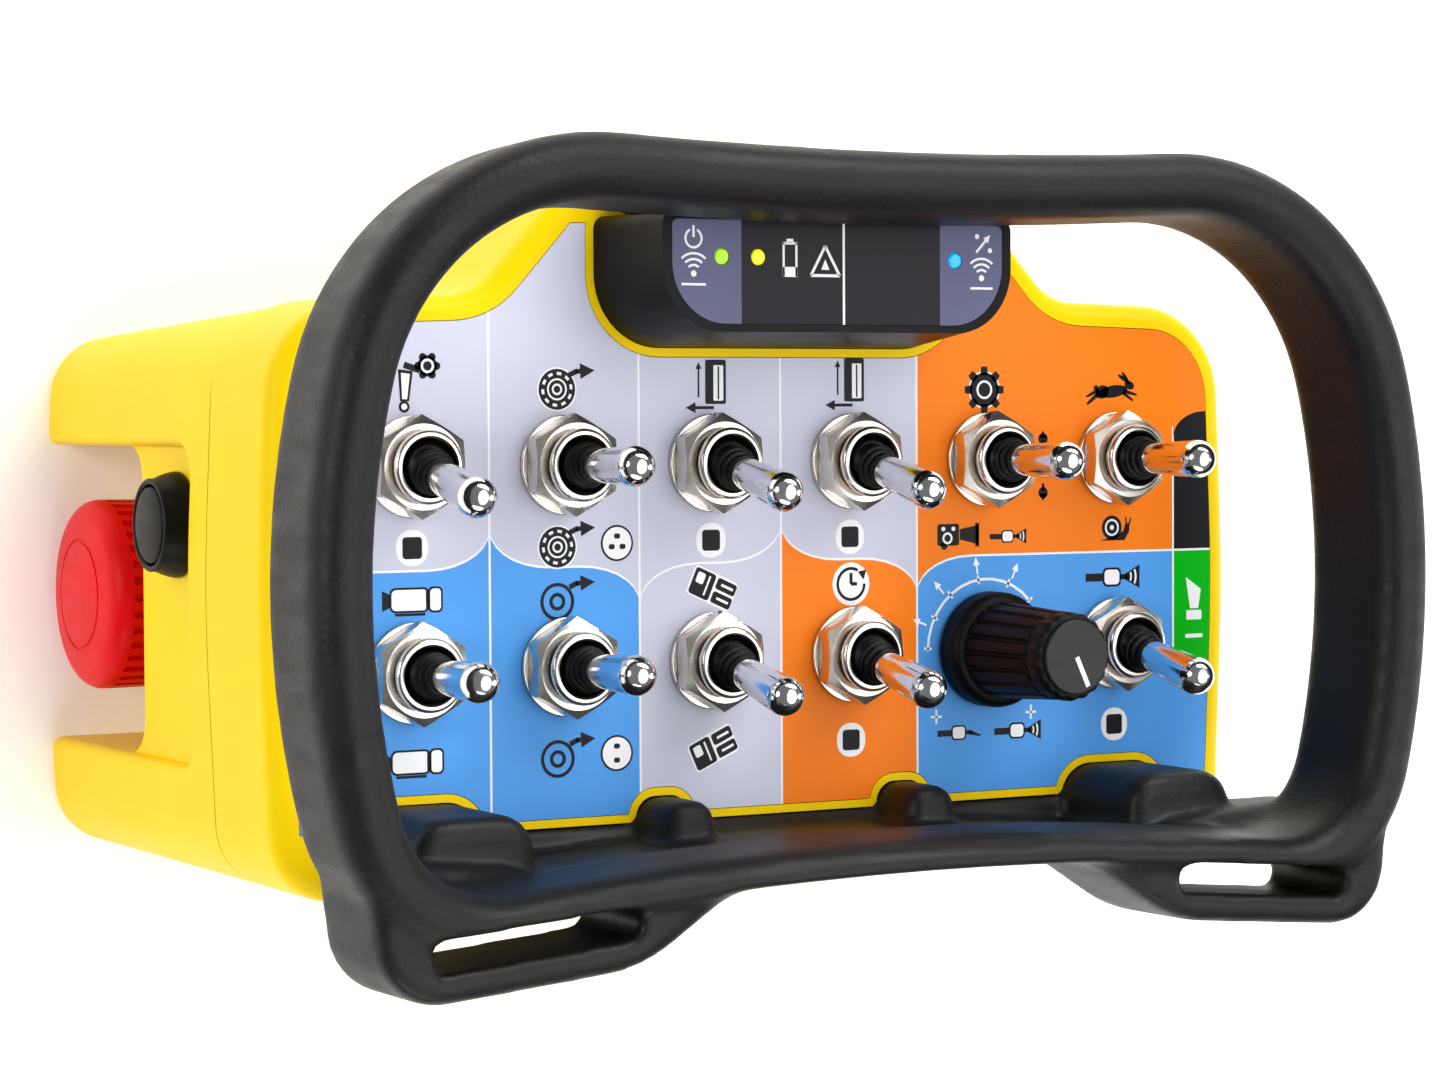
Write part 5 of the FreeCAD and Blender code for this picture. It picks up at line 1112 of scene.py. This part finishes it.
class Sign(Enum):
    """Own plain signs: black strokes, then white ones, each a shape of the stencil with its measures."""

    STOP_FIELD = ((("rounded", 0, 0, 4.0, 4.1, 0.7, 2),), (("rounded", 0, 0, 6.6, 6.8, 3.0),))
    FULL_REEL = ((("disc", 0, 0, 3.9), *PULL_ARROW),
                 (("disc", 0, 0, 4.2, 0), *(("ring", 0, 0, 3.3, 2.75, 2, 36 * k, 18) for k in range(10)),
                  ("ring", 0, 0, 2.1, 1.75, 2), ("ring", 0, 0, 1.1, 0.7, 2)))
    EMPTY_REEL = ((("ring", 0, 0, 3.6, 2.95), ("ring", 0, 0, 1.7, 1.0), *PULL_ARROW), ())
    MAST = ((("rounded", 2.0, 0.6, 4.6, 8.6, 0.4), ("bar", 2.6, -2.8, 2.6, 3.6, 0.35, 3),
             ("arrow", -1.8, -2.4, -1.8, 4.4, 0.35, 1.3), ("arrow", 1.6, -4.4, -4.6, -4.4, 0.6, 2.1)),
            (("rounded", 2.6, 0.4, 2.2, 6.9, 0.2, 2),))
    GEAR = ((("disc", 0, 0, 3.5), *radial("bar", range(0, 360, 45), 2.9, 4.7, 1.9, 1, 1.4)),
            (("disc", 0, 0, 3.8, 0), ("ring", 0, 0, 1.9, 1.45, 2)))
    HARE = ((("oval", 0.2, 0.2, 3.6, 1.25, 8), ("oval", -2.6, 0.1, 1.7, 1.35, 20),
             ("oval", 4.3, 1.5, 1.25, 0.85, -18), ("oval", 2.9, 2.8, 1.7, 0.4, 150),
             ("oval", 3.4, 3.0, 1.6, 0.36, 128), ("bar", -3.0, 0.1, -6.4, -2.4, 1.1, 1, 0.5),
             ("bar", -3.4, 0.6, -6.6, -0.9, 0.9, 1, 0.4), ("bar", 2.8, 0.3, 6.2, -0.5, 0.9, 1, 0.4),
             ("bar", 2.6, 0.0, 5.2, -1.7, 0.8, 1, 0.4), ("oval", -4.2, 1.0, 0.6, 0.45, 40)), ())
    SNAIL = ((("disc", -0.6, 0.5, 2.5),
              ("polygon", ((-3.6, -2.2), (2.6, -2.2), (3.8, -0.4), (3.9, 1.2), (2.9, 1.3), (2.4, -0.2),
                           (0.8, -1.1))),
              ("bar", 3.2, 1.0, 2.9, 2.6, 0.3), ("bar", 3.7, 1.0, 4.3, 2.4, 0.3)),
             (("ring", -0.6, 0.5, 1.75, 1.35, 2), ("disc", -0.6, 0.5, 0.5, 2)))
    VESSEL = ((("rounded", -0.6, 0.1, 8.2, 4.7, 1.2), ("rounded", 4.7, 0.1, 3.0, 4.9, 1.0),
               ("polygon", ((-6.2, 1.9), (-4.6, 1.2), (-4.6, -1.2), (-6.2, -1.9))),
               ("bar", -3.6, -2.6, 2.6, -2.6, 0.5), ("bar", 2.9, -1.9, 2.9, 2.1, 0.4, 3)),
              (("rounded", -0.6, 0.1, 7.4, 3.9, 0.9, 2), ("rounded", 4.7, 0.1, 2.2, 4.1, 0.7, 2)))
    PUMP = ((("rounded", -2.4, 0, 4.8, 5.4, 0.6), ("rounded", 2.8, 1.4, 4.6, 2.3, 0.5),
             ("rounded", 2.8, -1.4, 4.6, 2.3, 0.5)),
            (("rounded", 0, 0, 10.4, 6.0, 0.8, 0), ("rounded", -3.2, 0.9, 1.8, 2.2, 0.4, 2),
             ("bar", -1.3, -2.0, -1.3, 2.0, 0.4, 2), ("bar", 1.6, 1.4, 4.4, 1.4, 0.5, 2),
             ("bar", 1.6, -1.4, 4.4, -1.4, 0.5, 2)))
    ENGINE = ((("rounded", -2.4, 0.1, 5.2, 4.4, 0.5),
               ("polygon", ((0.4, 1.2), (5.0, 2.0), (5.0, -2.0), (0.4, -0.9))),
               ("bar", 4.6, -2.4, 4.6, 2.4, 0.9), ("disc", -3.4, -2.1, 0.8)),
              (("ring", -2.6, -0.6, 1.2, 0.75, 2), ("disc", -3.6, 1.3, 0.45, 2),
               ("disc", -1.2, 1.3, 0.45, 2)))
    SHUT_NOZZLE = ((*NOZZLE_BODY, ("bar", 3.0, 0, 6.2, -0.9, 1.2, 1, 0.4)), NOZZLE_FACE)
    OPEN_NOZZLE = ((*NOZZLE_BODY, ("bar", 3.0, 0, 6.4, 0, 1.0, 1, 4.4)),
                   (*NOZZLE_FACE, ("ring", 2.2, 0, 3.5, 3.1, 2, -24, 48),
                    ("ring", 2.2, 0, 2.4, 2.05, 2, -22, 44)))
    LANCE = ((*(("disc", *polar(1.9, 60 * k, (2.4, 3.2)), 0.75) for k in range(6)), ("disc", 2.4, 3.2, 2.0),
              ("bar", 0.8, 2.4, -2.4, 3.4, 1.2),
              ("polygon", ((-3.6, 2.6), (-0.6, 2.2), (-1.4, -3.4), (-3.2, -3.4))),
              ("disc", -2.4, -4.4, 1.1)),
             (("ring", 2.4, 3.2, 1.35, 0.9, 2), ("disc", -2.4, -4.4, 0.6, 2),
              ("polygon", ((-3.0, 1.9), (-1.2, 1.7), (-1.8, -3.0), (-2.8, -3.0)), 2)))
    THREE_MARKS = counter(3)
    TWO_MARKS = counter(2)
    TURN_ARROW = ((("ring", 0, 0, 3.4, 2.8, 2, 60, 300), ("bar", 2.9, 0.9, 2.6, 2.6, 0.2, 2, 2.0),
                   ("bar", 0, 2.2, 0, 0, 0.7, 2), ("bar", 0, 0, 1.4, 0, 0.7, 2)), (("disc", 0, 0, 4.3),))
    DROP = ((("disc", 0, 0.3, 1.15), ("polygon", ((-1.1, 0.5), (0, 2.0), (1.1, 0.5))),
             ("bar", 0, 0, 0, -1.6, 0.6)), ())
    START_KEY = ((), (("polygon", ((-2.0, 4.4), (1.9, 1.8), (1.2, -2.2), (-0.9, -2.2))),
                      ("rounded", 0.1, -3.6, 3.9, 2.0, 0.2), ("rounded", 0.1, -8.0, 4.5, 0.85, 0.3)))
    KNOB_SCALE = ((), (("ring", 0, 0, SCALE_RADIUS + 0.28, SCALE_RADIUS - 0.28, 1, 42, 138),
                       *radial("bar", (42, 68, 98, 128, 152, 178), SCALE_RADIUS - 0.9, SCALE_RADIUS + 0.9,
                               0.5),
                       *radial("arrow", (66, 98, 132, 160), SCALE_RADIUS + 1.2, SCALE_RADIUS + 4.6, 0.4, 1.6),
                       *(("bar", x - 1.3, -13.4, x + 1.3, -13.4, 0.45) for x in (-12.2, 10.8)),
                       *(("bar", x, -14.9, x, -11.9, 0.45) for x in (-12.2, 10.8))))
    POWER = ((), (("ring", 0, 0, 1.95, 1.5, 1, 115, 310), ("bar", 0, 0.2, 0, 2.4, 0.5)))
    WAVES = ((), (("disc", 0, 0, 0.6), ("bar", -2.6, -2.0, 2.6, -2.0, 0.45),
                  *(("ring", 0, 0, r + 0.22, r - 0.22, 1, 48, 84) for r in (1.6, 2.7, 3.8))))
    LINK = ((), (("arrow", -1.6, -1.6, 1.6, 1.8, 0.5, 1.5), ("disc", -1.4, 1.5, 0.5),
                 ("disc", 1.6, -1.2, 0.5)))
    CELL = ((), (("rounded", 0, 3.5, 1.5, 0.7, 0.15), ("bar", -1.4, -3.3, -1.4, 3.1, 0.45),
                 ("bar", 1.4, -3.3, 1.4, 3.1, 0.45), ("bar", -1.6, 3.0, 1.6, 3.0, 0.45),
                 ("rounded", 0, -2.4, 3.2, 1.9, 0.2)))
    TRIANGLE = ((), (("bar", -3.2, -2.6, 3.2, -2.6, 0.55), ("bar", 3.2, -2.6, 0, 3.0, 0.55),
                     ("bar", 0, 3.0, -3.2, -2.6, 0.55), ("polygon", ((-0.9, -1.5), (0.9, -1.5), (0, 0.5)))))

    def draw(self, black: Stencil, white: Stencil, *spot: float) -> None:
        """Adds the sign to the stencils of both inks.

        Args:
            black: Stencil of the black strokes.
            white: Stencil of the white strokes.
            *spot: Middle of the sign, its turn and its scale, as Stencil.at takes them.
        """
        for stencil, strokes in zip((black, white), self.value):
            stencil.at(*spot)
            for shape, *measures in strokes:
                getattr(stencil, shape)(*measures)


@dataclass
class PanelSigns:
    """Signs beside the levers and the knob's scale."""

    spots: tuple[tuple, ...] = (
        (Sign.STOP_FIELD, (-80.0, 4.1), (-16.2, 4.2), (15.5, 4.2), (15.6, -36.3), (79.7, -36.1)),
        (Sign.LANCE, (-79.0, 34.8)),
        (Sign.FULL_REEL, (-49.6, 33.6), (-49.7, 3.6)),
        (Sign.EMPTY_REEL, (-49.8, -6.8), (-49.9, -36.8)),
        (Sign.MAST, (-17.0, 34.4), (14.6, 34.8)),
        (Sign.GEAR, (47.6, 33.4)),
        (Sign.HARE, (79.4, 32.8)),
        (Sign.SNAIL, (79.8, 4.3)),
        (Sign.ENGINE, (41.2, 4.0)),
        (Sign.DROP, (62.0, 23.0), (62.0, 12.6, 180.0)),
        (Sign.VESSEL, (-80.0, -5.7), (-80.0, -36.0)),
        (Sign.THREE_MARKS, (-36.9, 4.1)),
        (Sign.TWO_MARKS, (-37.2, -36.3)),
        (Sign.PUMP, (-16.0, -5.2, -24.0), (-16.0, -36.4, 24.0)),
        (Sign.TURN_ARROW, (15.7, -5.2)),
        (Sign.SHUT_NOZZLE, (41.2, -36.1, 0.0, 0.85)),
        (Sign.OPEN_NOZZLE, (53.2, 3.5, 0.0, 0.72), (55.4, -36.3, 0.0, 0.92), (79.2, -5.5, 0.0, 1.1)),
        (Sign.START_KEY, (100.2, -10.4)),
        (Sign.KNOB_SCALE, (48.0, -19.25)),
    )

    def build(self) -> None:
        """Draws every sign in its places."""
        black, white = Stencil(0.0), Stencil(0.0)
        for sign, *spots in self.spots:
            for spot in spots:
                sign.draw(black, white, *spot)
        black.piece("panel_signs_black", Look.INK_BLACK)
        white.piece("panel_signs_white", Look.INK_WHITE)


@dataclass
class DisplayUnit:
    """Display pod with its printed window and three lamps."""

    left_edge: float = -22.0
    right_edge: float = 22.4
    divider: float = 0.55
    line_width: float = 0.5
    spots: tuple[tuple, ...] = (
        (Sign.POWER, -32.3, 61.6), (Sign.WAVES, -32.3, 55.0), (Sign.WAVES, 32.0, 55.0),
        (Sign.LINK, 32.4, 61.6), (Sign.CELL, -11.4, 58.0), (Sign.TRIANGLE, -3.6, 57.6),
    )

    def window(self) -> float:
        """Prints the window.

        Returns:
            Height of the window's face above the foil, in millimetres.
        """
        bm = merged_copy("display_window")
        half = self.line_width / 2
        for line in (self.left_edge, self.right_edge, self.divider - half, self.divider + half):
            cut_along(bm, on_panel(line, 0), Vector((1, 0, 0)))
        looks = [Look.GLASS_BLACK, Look.GLASS_GREY, Look.INK_WHITE]
        for face in bm.faces:
            x = (face.calc_center_median() - PANEL_ORIGIN).x / MM
            if abs(x - self.divider) < half:
                face.material_index = 2
            else:
                face.material_index = int(not self.left_edge < x < self.right_edge)
        add_piece("display_window_print", bm, looks, BASE, ["display_window"])
        return (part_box("display_window")[1].z - PANEL_ORIGIN.z) / MM

    def build(self) -> None:
        """Builds the display."""
        white = Stencil(self.window())
        for sign, *spot in self.spots:
            sign.draw(white, white, *spot)
        white.piece("display_signs", Look.INK_WHITE)
        dress({Look.BLACK_POD: ["display_pod"], Look.BOARD: ["display_board"], Look.LAMP_GREEN: ["led_green"],
               Look.LAMP_YELLOW: ["led_yellow"], Look.LAMP_BLUE: ["led_blue"]})


@dataclass
class GuardFrame:
    """Grained guard frame with softly blended corners."""

    voxel: float = 1.15
    blend_steps: int = 9
    blend_factor: float = 0.5
    smooth_angle: float = 80.0

    def build(self) -> None:
        """Blends the corners of the frame and gives it its grain."""
        raw = linked("guard_frame_raw", settled("guard_frame_raw", merged_copy("guard_frame")))
        remesh = raw.modifiers.new("remesh", "REMESH")
        remesh.mode = "VOXEL"
        remesh.voxel_size = self.voxel * MM
        smooth = raw.modifiers.new("smooth", "SMOOTH")
        smooth.factor = self.blend_factor
        smooth.iterations = self.blend_steps
        blended = plain_mesh("guard_frame_blended", raw)
        bpy.data.objects.remove(raw)
        blended.materials.clear()
        add_piece("guard_frame_blended", blended, [Look.BLACK_FRAME], BASE, ["guard_frame"],
                  self.smooth_angle)


@dataclass
class ToggleBank:
    """Eleven lever switches with turned hardware and ridged boots."""

    pitch: float = 32.0
    columns: int = 6
    row_spacing: float = 38.5
    knob_column: int = 4
    tilt: float = 13.0
    tilted: tuple[int, ...] = (1, 3, 4, 9, 10, 11)
    pivot: float = 5.2
    plate_low: float = -3.0
    washer_radius: float = 9.55
    washer_height: float = 1.0
    bore: float = 6.1
    across_flats: float = 17.0
    nut_top: float = 5.6
    nut_face: float = 8.0
    chamfer_slope: float = 0.5
    thread: float = 6.0
    sleeve: float = 5.45
    head_radius: float = 7.0
    head_low: float = 6.8
    head_top: float = 8.6
    boot_ball: float = 5.15
    boot_core: float = 2.65
    boot_top: float = 13.3
    boot_rolls: tuple[tuple, ...] = (
        (((3.5, 9.05),), (3.95, 9.6), 0.5, -60, 80),
        (((3.55, 10.25), (3.5, 10.5)), (3.55, 11.0), 0.42, -60, 80),
        (((3.25, 11.6), (3.2, 11.9)), (3.2, 12.95), 0.35, -20, 90),
    )
    washer_edge: float = 0.3
    nut_bevel: float = 0.5
    neck_depth: float = 0.35
    neck_length: float = 0.5
    round_steps: int = 96
    nut_steps: int = 144

    def places(self) -> list[Point]:
        """Lever places, top row first.

        Returns:
            Panel places in millimetres.
        """
        first = -(self.columns - 1) / 2 * self.pitch
        grid = [(row, column) for row in (1, -1) for column in range(self.columns)]
        return [(first + column * self.pitch, row * self.row_spacing / 2) for row, column in grid
                if (row, column) != (-1, self.knob_column)]

    def washer(self) -> bmesh.types.BMesh:
        """Washer with rounded edges.

        Returns:
            The washer about its own axis.
        """
        edge = self.washer_edge
        corner = (self.washer_radius - edge, self.washer_height - edge)
        profile = [(self.bore, 0.0), (self.washer_radius - edge / 3, 0.0), (self.washer_radius, edge / 3)]
        profile += rounded_corner(corner, edge, 0, 90) + [(self.bore, self.washer_height)]
        return turned(profile, self.round_steps)

    def nut(self) -> bmesh.types.BMesh:
        """Hexagon nut whose corners are turned off at both ends.

        Returns:
            The nut about its own axis.
        """
        low, top = self.washer_height, self.nut_top
        face, bevel = self.nut_face, self.nut_bevel
        profile = [(self.bore, low), (face, low), (face, low), (face, top), (face, top),
                   (self.bore + bevel, top), (self.bore, top - bevel)]

        def hexagon(number: int, point: Point, part: float) -> Point:
            """Radius and height of a row, which lies on the flats in the middle of the nut."""
            if number not in (2, 3):
                return point
            off = (part * 360 + 30) % 60 - 30
            reach = self.across_flats / 2 / math.cos(math.radians(off))
            drop = (reach - face) * self.chamfer_slope
            return reach, low + drop if number == 2 else top - drop

        return turned(profile, self.nut_steps, hexagon)

    def bushing(self) -> bmesh.types.BMesh:
        """Threaded sleeve with a rolled head.

        Returns:
            The bushing about its own axis.
        """
        neck = self.neck_depth
        roll = (self.head_top - self.head_low) / 2
        profile = [(self.sleeve, self.plate_low), (self.thread, self.plate_low),
                   (self.thread, self.head_low - 2 * neck),
                   (self.thread - neck, self.head_low - self.neck_length),
                   (self.thread - neck, self.head_low)]
        profile += rounded_corner((self.head_radius - roll, self.head_low + roll), roll, -90, 90, 10)
        profile += [(self.sleeve + neck, self.head_top), (self.sleeve, self.head_top - neck)]
        return turned(profile, self.round_steps)

    def boot(self) -> bmesh.types.BMesh:
        """Rubber boot with two ridges and a neck.

        Returns:
            The boot about the lever's axis, upright.
        """
        profile = [(0.0, self.pivot - self.boot_ball)]
        profile += rounded_corner((0.0, self.pivot), self.boot_ball, -80, 44, 16)
        for valley, centre, radius, start, end in self.boot_rolls:
            profile += [*valley, *rounded_corner(centre, radius, start, end, 6)]
        profile += [(self.boot_core, self.boot_top), (self.boot_core, self.pivot), (0.0, self.pivot)]
        return turned(profile, self.round_steps // 2)

    def build(self) -> None:
        """Builds the switches' metal and rubber."""
        spreader = Spreader()
        spots = [on_panel(x, y) for x, y in self.places()]
        for name, shape, angle in (("washers", self.washer(), 50.0), ("nuts", self.nut(), 24.0),
                                   ("bushings", self.bushing(), 40.0)):
            mesh = spreader.spread(f"turned_{name}", shape, spots, Look.NICKEL)
            add_piece(f"turned_{name}", mesh, [], BASE, [f"toggle_{name}"], angle)
        about = Matrix.Translation((0, 0, self.pivot * MM))
        for number, spot in enumerate(spots, start=1):
            bm = self.boot()
            lean = self.tilt if number in self.tilted else 0.0
            turn = about @ Matrix.Rotation(math.radians(lean), 4, "X") @ about.inverted()
            bmesh.ops.transform(bm, matrix=Matrix.Translation(spot) @ turn, verts=bm.verts)
            add_piece(f"ridged_boot_{number:02d}", bm, [Look.DARK_RUBBER], f"toggle_{number:02d}",
                      [f"toggle_boot_{number:02d}"], 50.0)
        dress({Look.BLACK_INNER: ["toggle_switch_cases"],
               Look.CHROME: [f"toggle_lever_{number:02d}" for number in range(1, len(spots) + 1)]})


@dataclass
class SpeedKnob:
    """Ribbed knob with its pointer, on its potentiometer."""

    x: float = 48.0
    y: float = -19.25
    low: float = 0.6
    flange: float = 11.7
    flange_top: float = 6.6
    flange_edge: float = 2.2
    root: float = 9.7
    collar_low: float = 26.6
    collar: float = 8.75
    top: float = 31.0
    seat: float = 7.3
    seat_low: float = 29.6
    hollow: float = 8.0
    hollow_top: float = 5.6
    shaft: float = 3.0
    shaft_top: float = 22.0
    flutes: int = 18
    groove: float = 0.75
    groove_share: float = 0.34
    scallop: float = 0.3
    collar_edge: float = 1.0
    collar_foot: tuple[Point, ...] = ((0.1, 0.6), (-0.5, 0.0))
    grip_gap: float = 0.4
    grip_clear: float = 0.5
    grip_runs: int = 6
    flange_bevel: float = 0.4
    steps_a_flute: int = 24

    def body(self) -> bmesh.types.BMesh:
        """Knob with a rounded flange, a fluted grip and a scalloped collar.

        Returns:
            The knob about its own axis.
        """
        edge, bevel, crown = self.flange_edge, self.flange_bevel, self.collar_edge
        profile = [(0.0, self.seat_low), (self.seat, self.seat_low), (self.seat, self.top)]
        collar_first = len(profile) + 1
        profile += rounded_corner((self.collar - crown, self.top - crown), crown, 90, 0, 5)
        collar_rows = range(collar_first, len(profile) + 1)
        profile += [(self.collar + out, self.collar_low + up) for out, up in self.collar_foot]
        grip_first = len(profile)
        grip_top = self.collar_low - self.grip_gap
        grip_low = self.flange_top + self.grip_clear
        for k in range(self.grip_runs + 1):
            part = k / self.grip_runs
            profile.append((self.collar + (self.root - self.collar) * part,
                            grip_top + (grip_low - grip_top) * part))
        grip_last = len(profile)
        profile += [(self.root, self.flange_top)]
        profile += rounded_corner((self.flange - edge, self.flange_top - edge), edge, 90, 0, 6)
        profile += [(self.flange, self.low + bevel), (self.flange - bevel, self.low), (self.hollow, self.low),
                    (self.hollow, self.hollow_top), (self.shaft, self.hollow_top),
                    (self.shaft, self.shaft_top), (0.0, self.shaft_top)]

        def fluted(number: int, point: Point, part: float) -> Point:
            """Radius and height of a row with its flutes or scallops."""
            radius, height = point
            phase = (part * self.flutes) % 1.0
            off = min(phase, 1 - phase) / (self.groove_share / 2)
            if grip_first <= number < grip_last and off < 1:
                radius -= self.groove * math.sqrt(1 - off * off)
            if number in collar_rows:
                radius -= self.scallop * (1 + math.cos(2 * math.pi * part * self.flutes)) / 2
            return radius, height

        return turned(profile, self.flutes * self.steps_a_flute, fluted)

    def build(self) -> None:
        """Builds the knob and dresses what it turns on."""
        bm = self.body()
        bmesh.ops.translate(bm, vec=on_panel(self.x, self.y), verts=bm.verts)
        add_piece("fluted_knob", bm, [Look.BLACK_KNOB], "knob", ["knob_body"], 42.0)
        dress({Look.BLACK_CAP: ["knob_cap"], Look.WHITE_MARK: ["knob_pointer"],
               Look.STEEL: ["potentiometer", "potentiometer_shaft"], Look.NICKEL: ["potentiometer_nut"]})


@dataclass
class SideButtons:
    """Stop button and start button in the left recess."""

    head_radius: float = 19.6
    head_depth: float = 14.0
    crown: float = 1.2
    face_rows: tuple[float, ...] = (4.0, 8.0)
    outer_row: float = 13.5
    head_edge: float = 4.2
    ring: float = 11.2
    ring_width: float = 0.45
    ring_depth: float = 0.3
    ring_slope: float = 0.12
    teeth: int = 36
    steps_a_tooth: int = 16
    tooth_root: float = 0.15
    skirt_foot: tuple[Point, ...] = ((0.1, 0.5), (0.4, 0.0))
    tooth_depth: float = 0.95
    tooth_share: float = 0.44
    tooth_length: float = 8.2
    socket: float = 15.0
    socket_top: float = -6.0
    hub: float = 10.0
    spigot: float = 7.05
    spigot_top: float = -8.0
    bezel_length: float = 6.4
    bezel_flank: tuple[Point, ...] = ((10.0, 0.0), (10.4, 0.4), (10.4, 1.0), (10.15, 2.2), (9.7, 3.6),
                                      (9.1, 4.9))
    bezel_roll: float = 0.65
    bezel_seat: float = 7.9
    bezel_floor: float = 1.4
    bezel_bore: float = 3.1
    tube: float = 6.0
    tube_end: float = -9.0
    cap_radius: float = 7.6
    cap_length: float = 3.5
    cap_proud: float = 0.8
    cap_crown: float = 0.7
    cap_face: tuple[Point, ...] = ((0.0, 0.0), (2.6, 0.08), (5.0, 0.3))
    cap_edge: float = 0.9
    round_steps: int = 96
    cap_stem: float = 3.0
    stem_end: float = -8.0

    @staticmethod
    def set_left(bm: bmesh.types.BMesh, face: Vector) -> None:
        """Turns a shape built along Z so that it faces left, with its origin at a place.

        Args:
            bm: Shape to turn.
            face: Place of its origin.
        """
        turn = Matrix.Rotation(math.radians(-90), 4, "Y")
        bmesh.ops.transform(bm, matrix=Matrix.Translation(face) @ turn, verts=bm.verts)

    def stop_head(self) -> bmesh.types.BMesh:
        """Mushroom head with an engraved ring and a toothed skirt.

        Returns:
            The head about its own axis, face at zero.
        """
        flat = self.head_radius - self.head_edge

        def dome(radius: float) -> float:
            """Height of the crowned face."""
            return -self.crown * (radius / flat) ** 2

        half = self.ring_width / 2
        lip = half + self.ring_slope
        depth = self.ring_depth
        rows = [*((radius, 0.0) for radius in self.face_rows), (self.ring - lip, 0.0),
                (self.ring - half, depth), (self.ring + half, depth), (self.ring + lip, 0.0),
                (self.outer_row, 0.0)]
        profile = [(0.0, 0.0), *((radius, dome(radius) - sink) for radius, sink in rows)]
        profile += rounded_corner((flat, -self.crown - self.head_edge), self.head_edge, 84, 0, 9)
        back = -self.head_depth
        tooth_top = self.tooth_length + back
        profile.append((self.head_radius, tooth_top + self.tooth_root))
        first = len(profile)
        profile += [(self.head_radius, tooth_top)]
        profile += [(self.head_radius - inset, back + up) for inset, up in self.skirt_foot]
        last = len(profile)
        profile += [(self.socket, back), (self.socket, self.socket_top), (self.hub, self.socket_top),
                    (self.hub, back), (self.spigot, back), (self.spigot, self.spigot_top),
                    (0.0, self.spigot_top)]

        def toothed(number: int, point: Point, part: float) -> Point:
            """Radius and height of a row with the notches between the teeth."""
            phase = (part * self.teeth) % 1.0
            notch = first <= number < last and min(phase, 1 - phase) < self.tooth_share / 2
            return point[0] - (self.tooth_depth if notch else 0.0), point[1]

        return turned(profile, self.teeth * self.steps_a_tooth, toothed)

    def start_cap(self) -> bmesh.types.BMesh:
        """Round push cap with a rounded edge and its stem.

        Returns:
            The cap about its own axis, bezel seat at zero.
        """
        edge = self.cap_edge
        top = self.bezel_length + self.cap_proud
        rim = top - self.cap_crown
        foot = top - self.cap_length
        profile = [(radius, top - drop) for radius, drop in self.cap_face]
        profile += rounded_corner((self.cap_radius - edge, rim - edge), edge, 80, 0, 6)
        profile += [(self.cap_radius, foot), (self.cap_stem, foot), (self.cap_stem, self.stem_end),
                    (0.0, self.stem_end)]
        return turned(profile, self.round_steps)

    def start_bezel(self) -> bmesh.types.BMesh:
        """Tapered bezel with a rolled rim and a tube through the wall.

        Returns:
            The bezel about its own axis, seat at zero.
        """
        roll = self.bezel_roll
        profile = [(self.bezel_bore, self.tube_end), (self.tube, self.tube_end), (self.tube, 0.0)]
        profile += self.bezel_flank
        profile += rounded_corner((self.bezel_seat + roll, self.bezel_length - roll), roll, 30, 172, 8)
        profile += [(self.bezel_seat, self.bezel_floor), (self.bezel_bore, self.bezel_floor)]
        return turned(profile, self.round_steps)

    @staticmethod
    def middle(node: str) -> Vector:
        """Middle of the left face of a node's box."""
        low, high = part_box(node)
        return Vector((low.x, (low.y + high.y) / 2, (low.z + high.z) / 2))

    def build(self) -> None:
        """Builds both buttons and dresses what carries them."""
        bm = self.stop_head()
        self.set_left(bm, self.middle("stop_head"))
        add_piece("toothed_stop_head", bm, [Look.RED_CAP], "stop_button", ["stop_head"], 40.0)
        seat = self.middle("start_bezel") + Vector((self.bezel_length * MM, 0, 0))
        cap, bezel = self.start_cap(), self.start_bezel()
        for bm in (cap, bezel):
            self.set_left(bm, seat)
        add_piece("rounded_start_cap", cap, [Look.BLACK_POD], "start_button", ["start_cap"],
                  45.0)
        add_piece("rolled_start_bezel", bezel, [Look.BLACK_POD], BASE, ["start_bezel"], 45.0)
        dress({Look.BLACK_INNER: ["stop_plunger", "stop_collar", "stop_ring_nut", "stop_contact_block",
                                  "start_switch"]})


@dataclass
class InnerWorks:
    """Boards, radio, battery and fasteners."""

    def build(self) -> None:
        """Dresses the inner pieces."""
        dress({Look.PLATE: ["control_plate", "radio_module"], Look.BOARD: ["main_board"],
               Look.BLACK_INNER: ["antenna"], Look.BLACK_POD: ["battery_pack"],
               Look.STEEL: ["housing_screws", "frame_screws"]})


def main() -> None:
    """Builds the stage and every sub-assembly in order."""
    logging.basicConfig(level=logging.INFO)
    for part in (Studio(), Housing(), PrintedFoil(), PanelSigns(), DisplayUnit(), GuardFrame(), ToggleBank(),
                 SpeedKnob(), SideButtons(), InnerWorks()):
        part.build()
        LOG.info("finished %s", type(part).__name__)


if __name__ == "__main__":
    main()
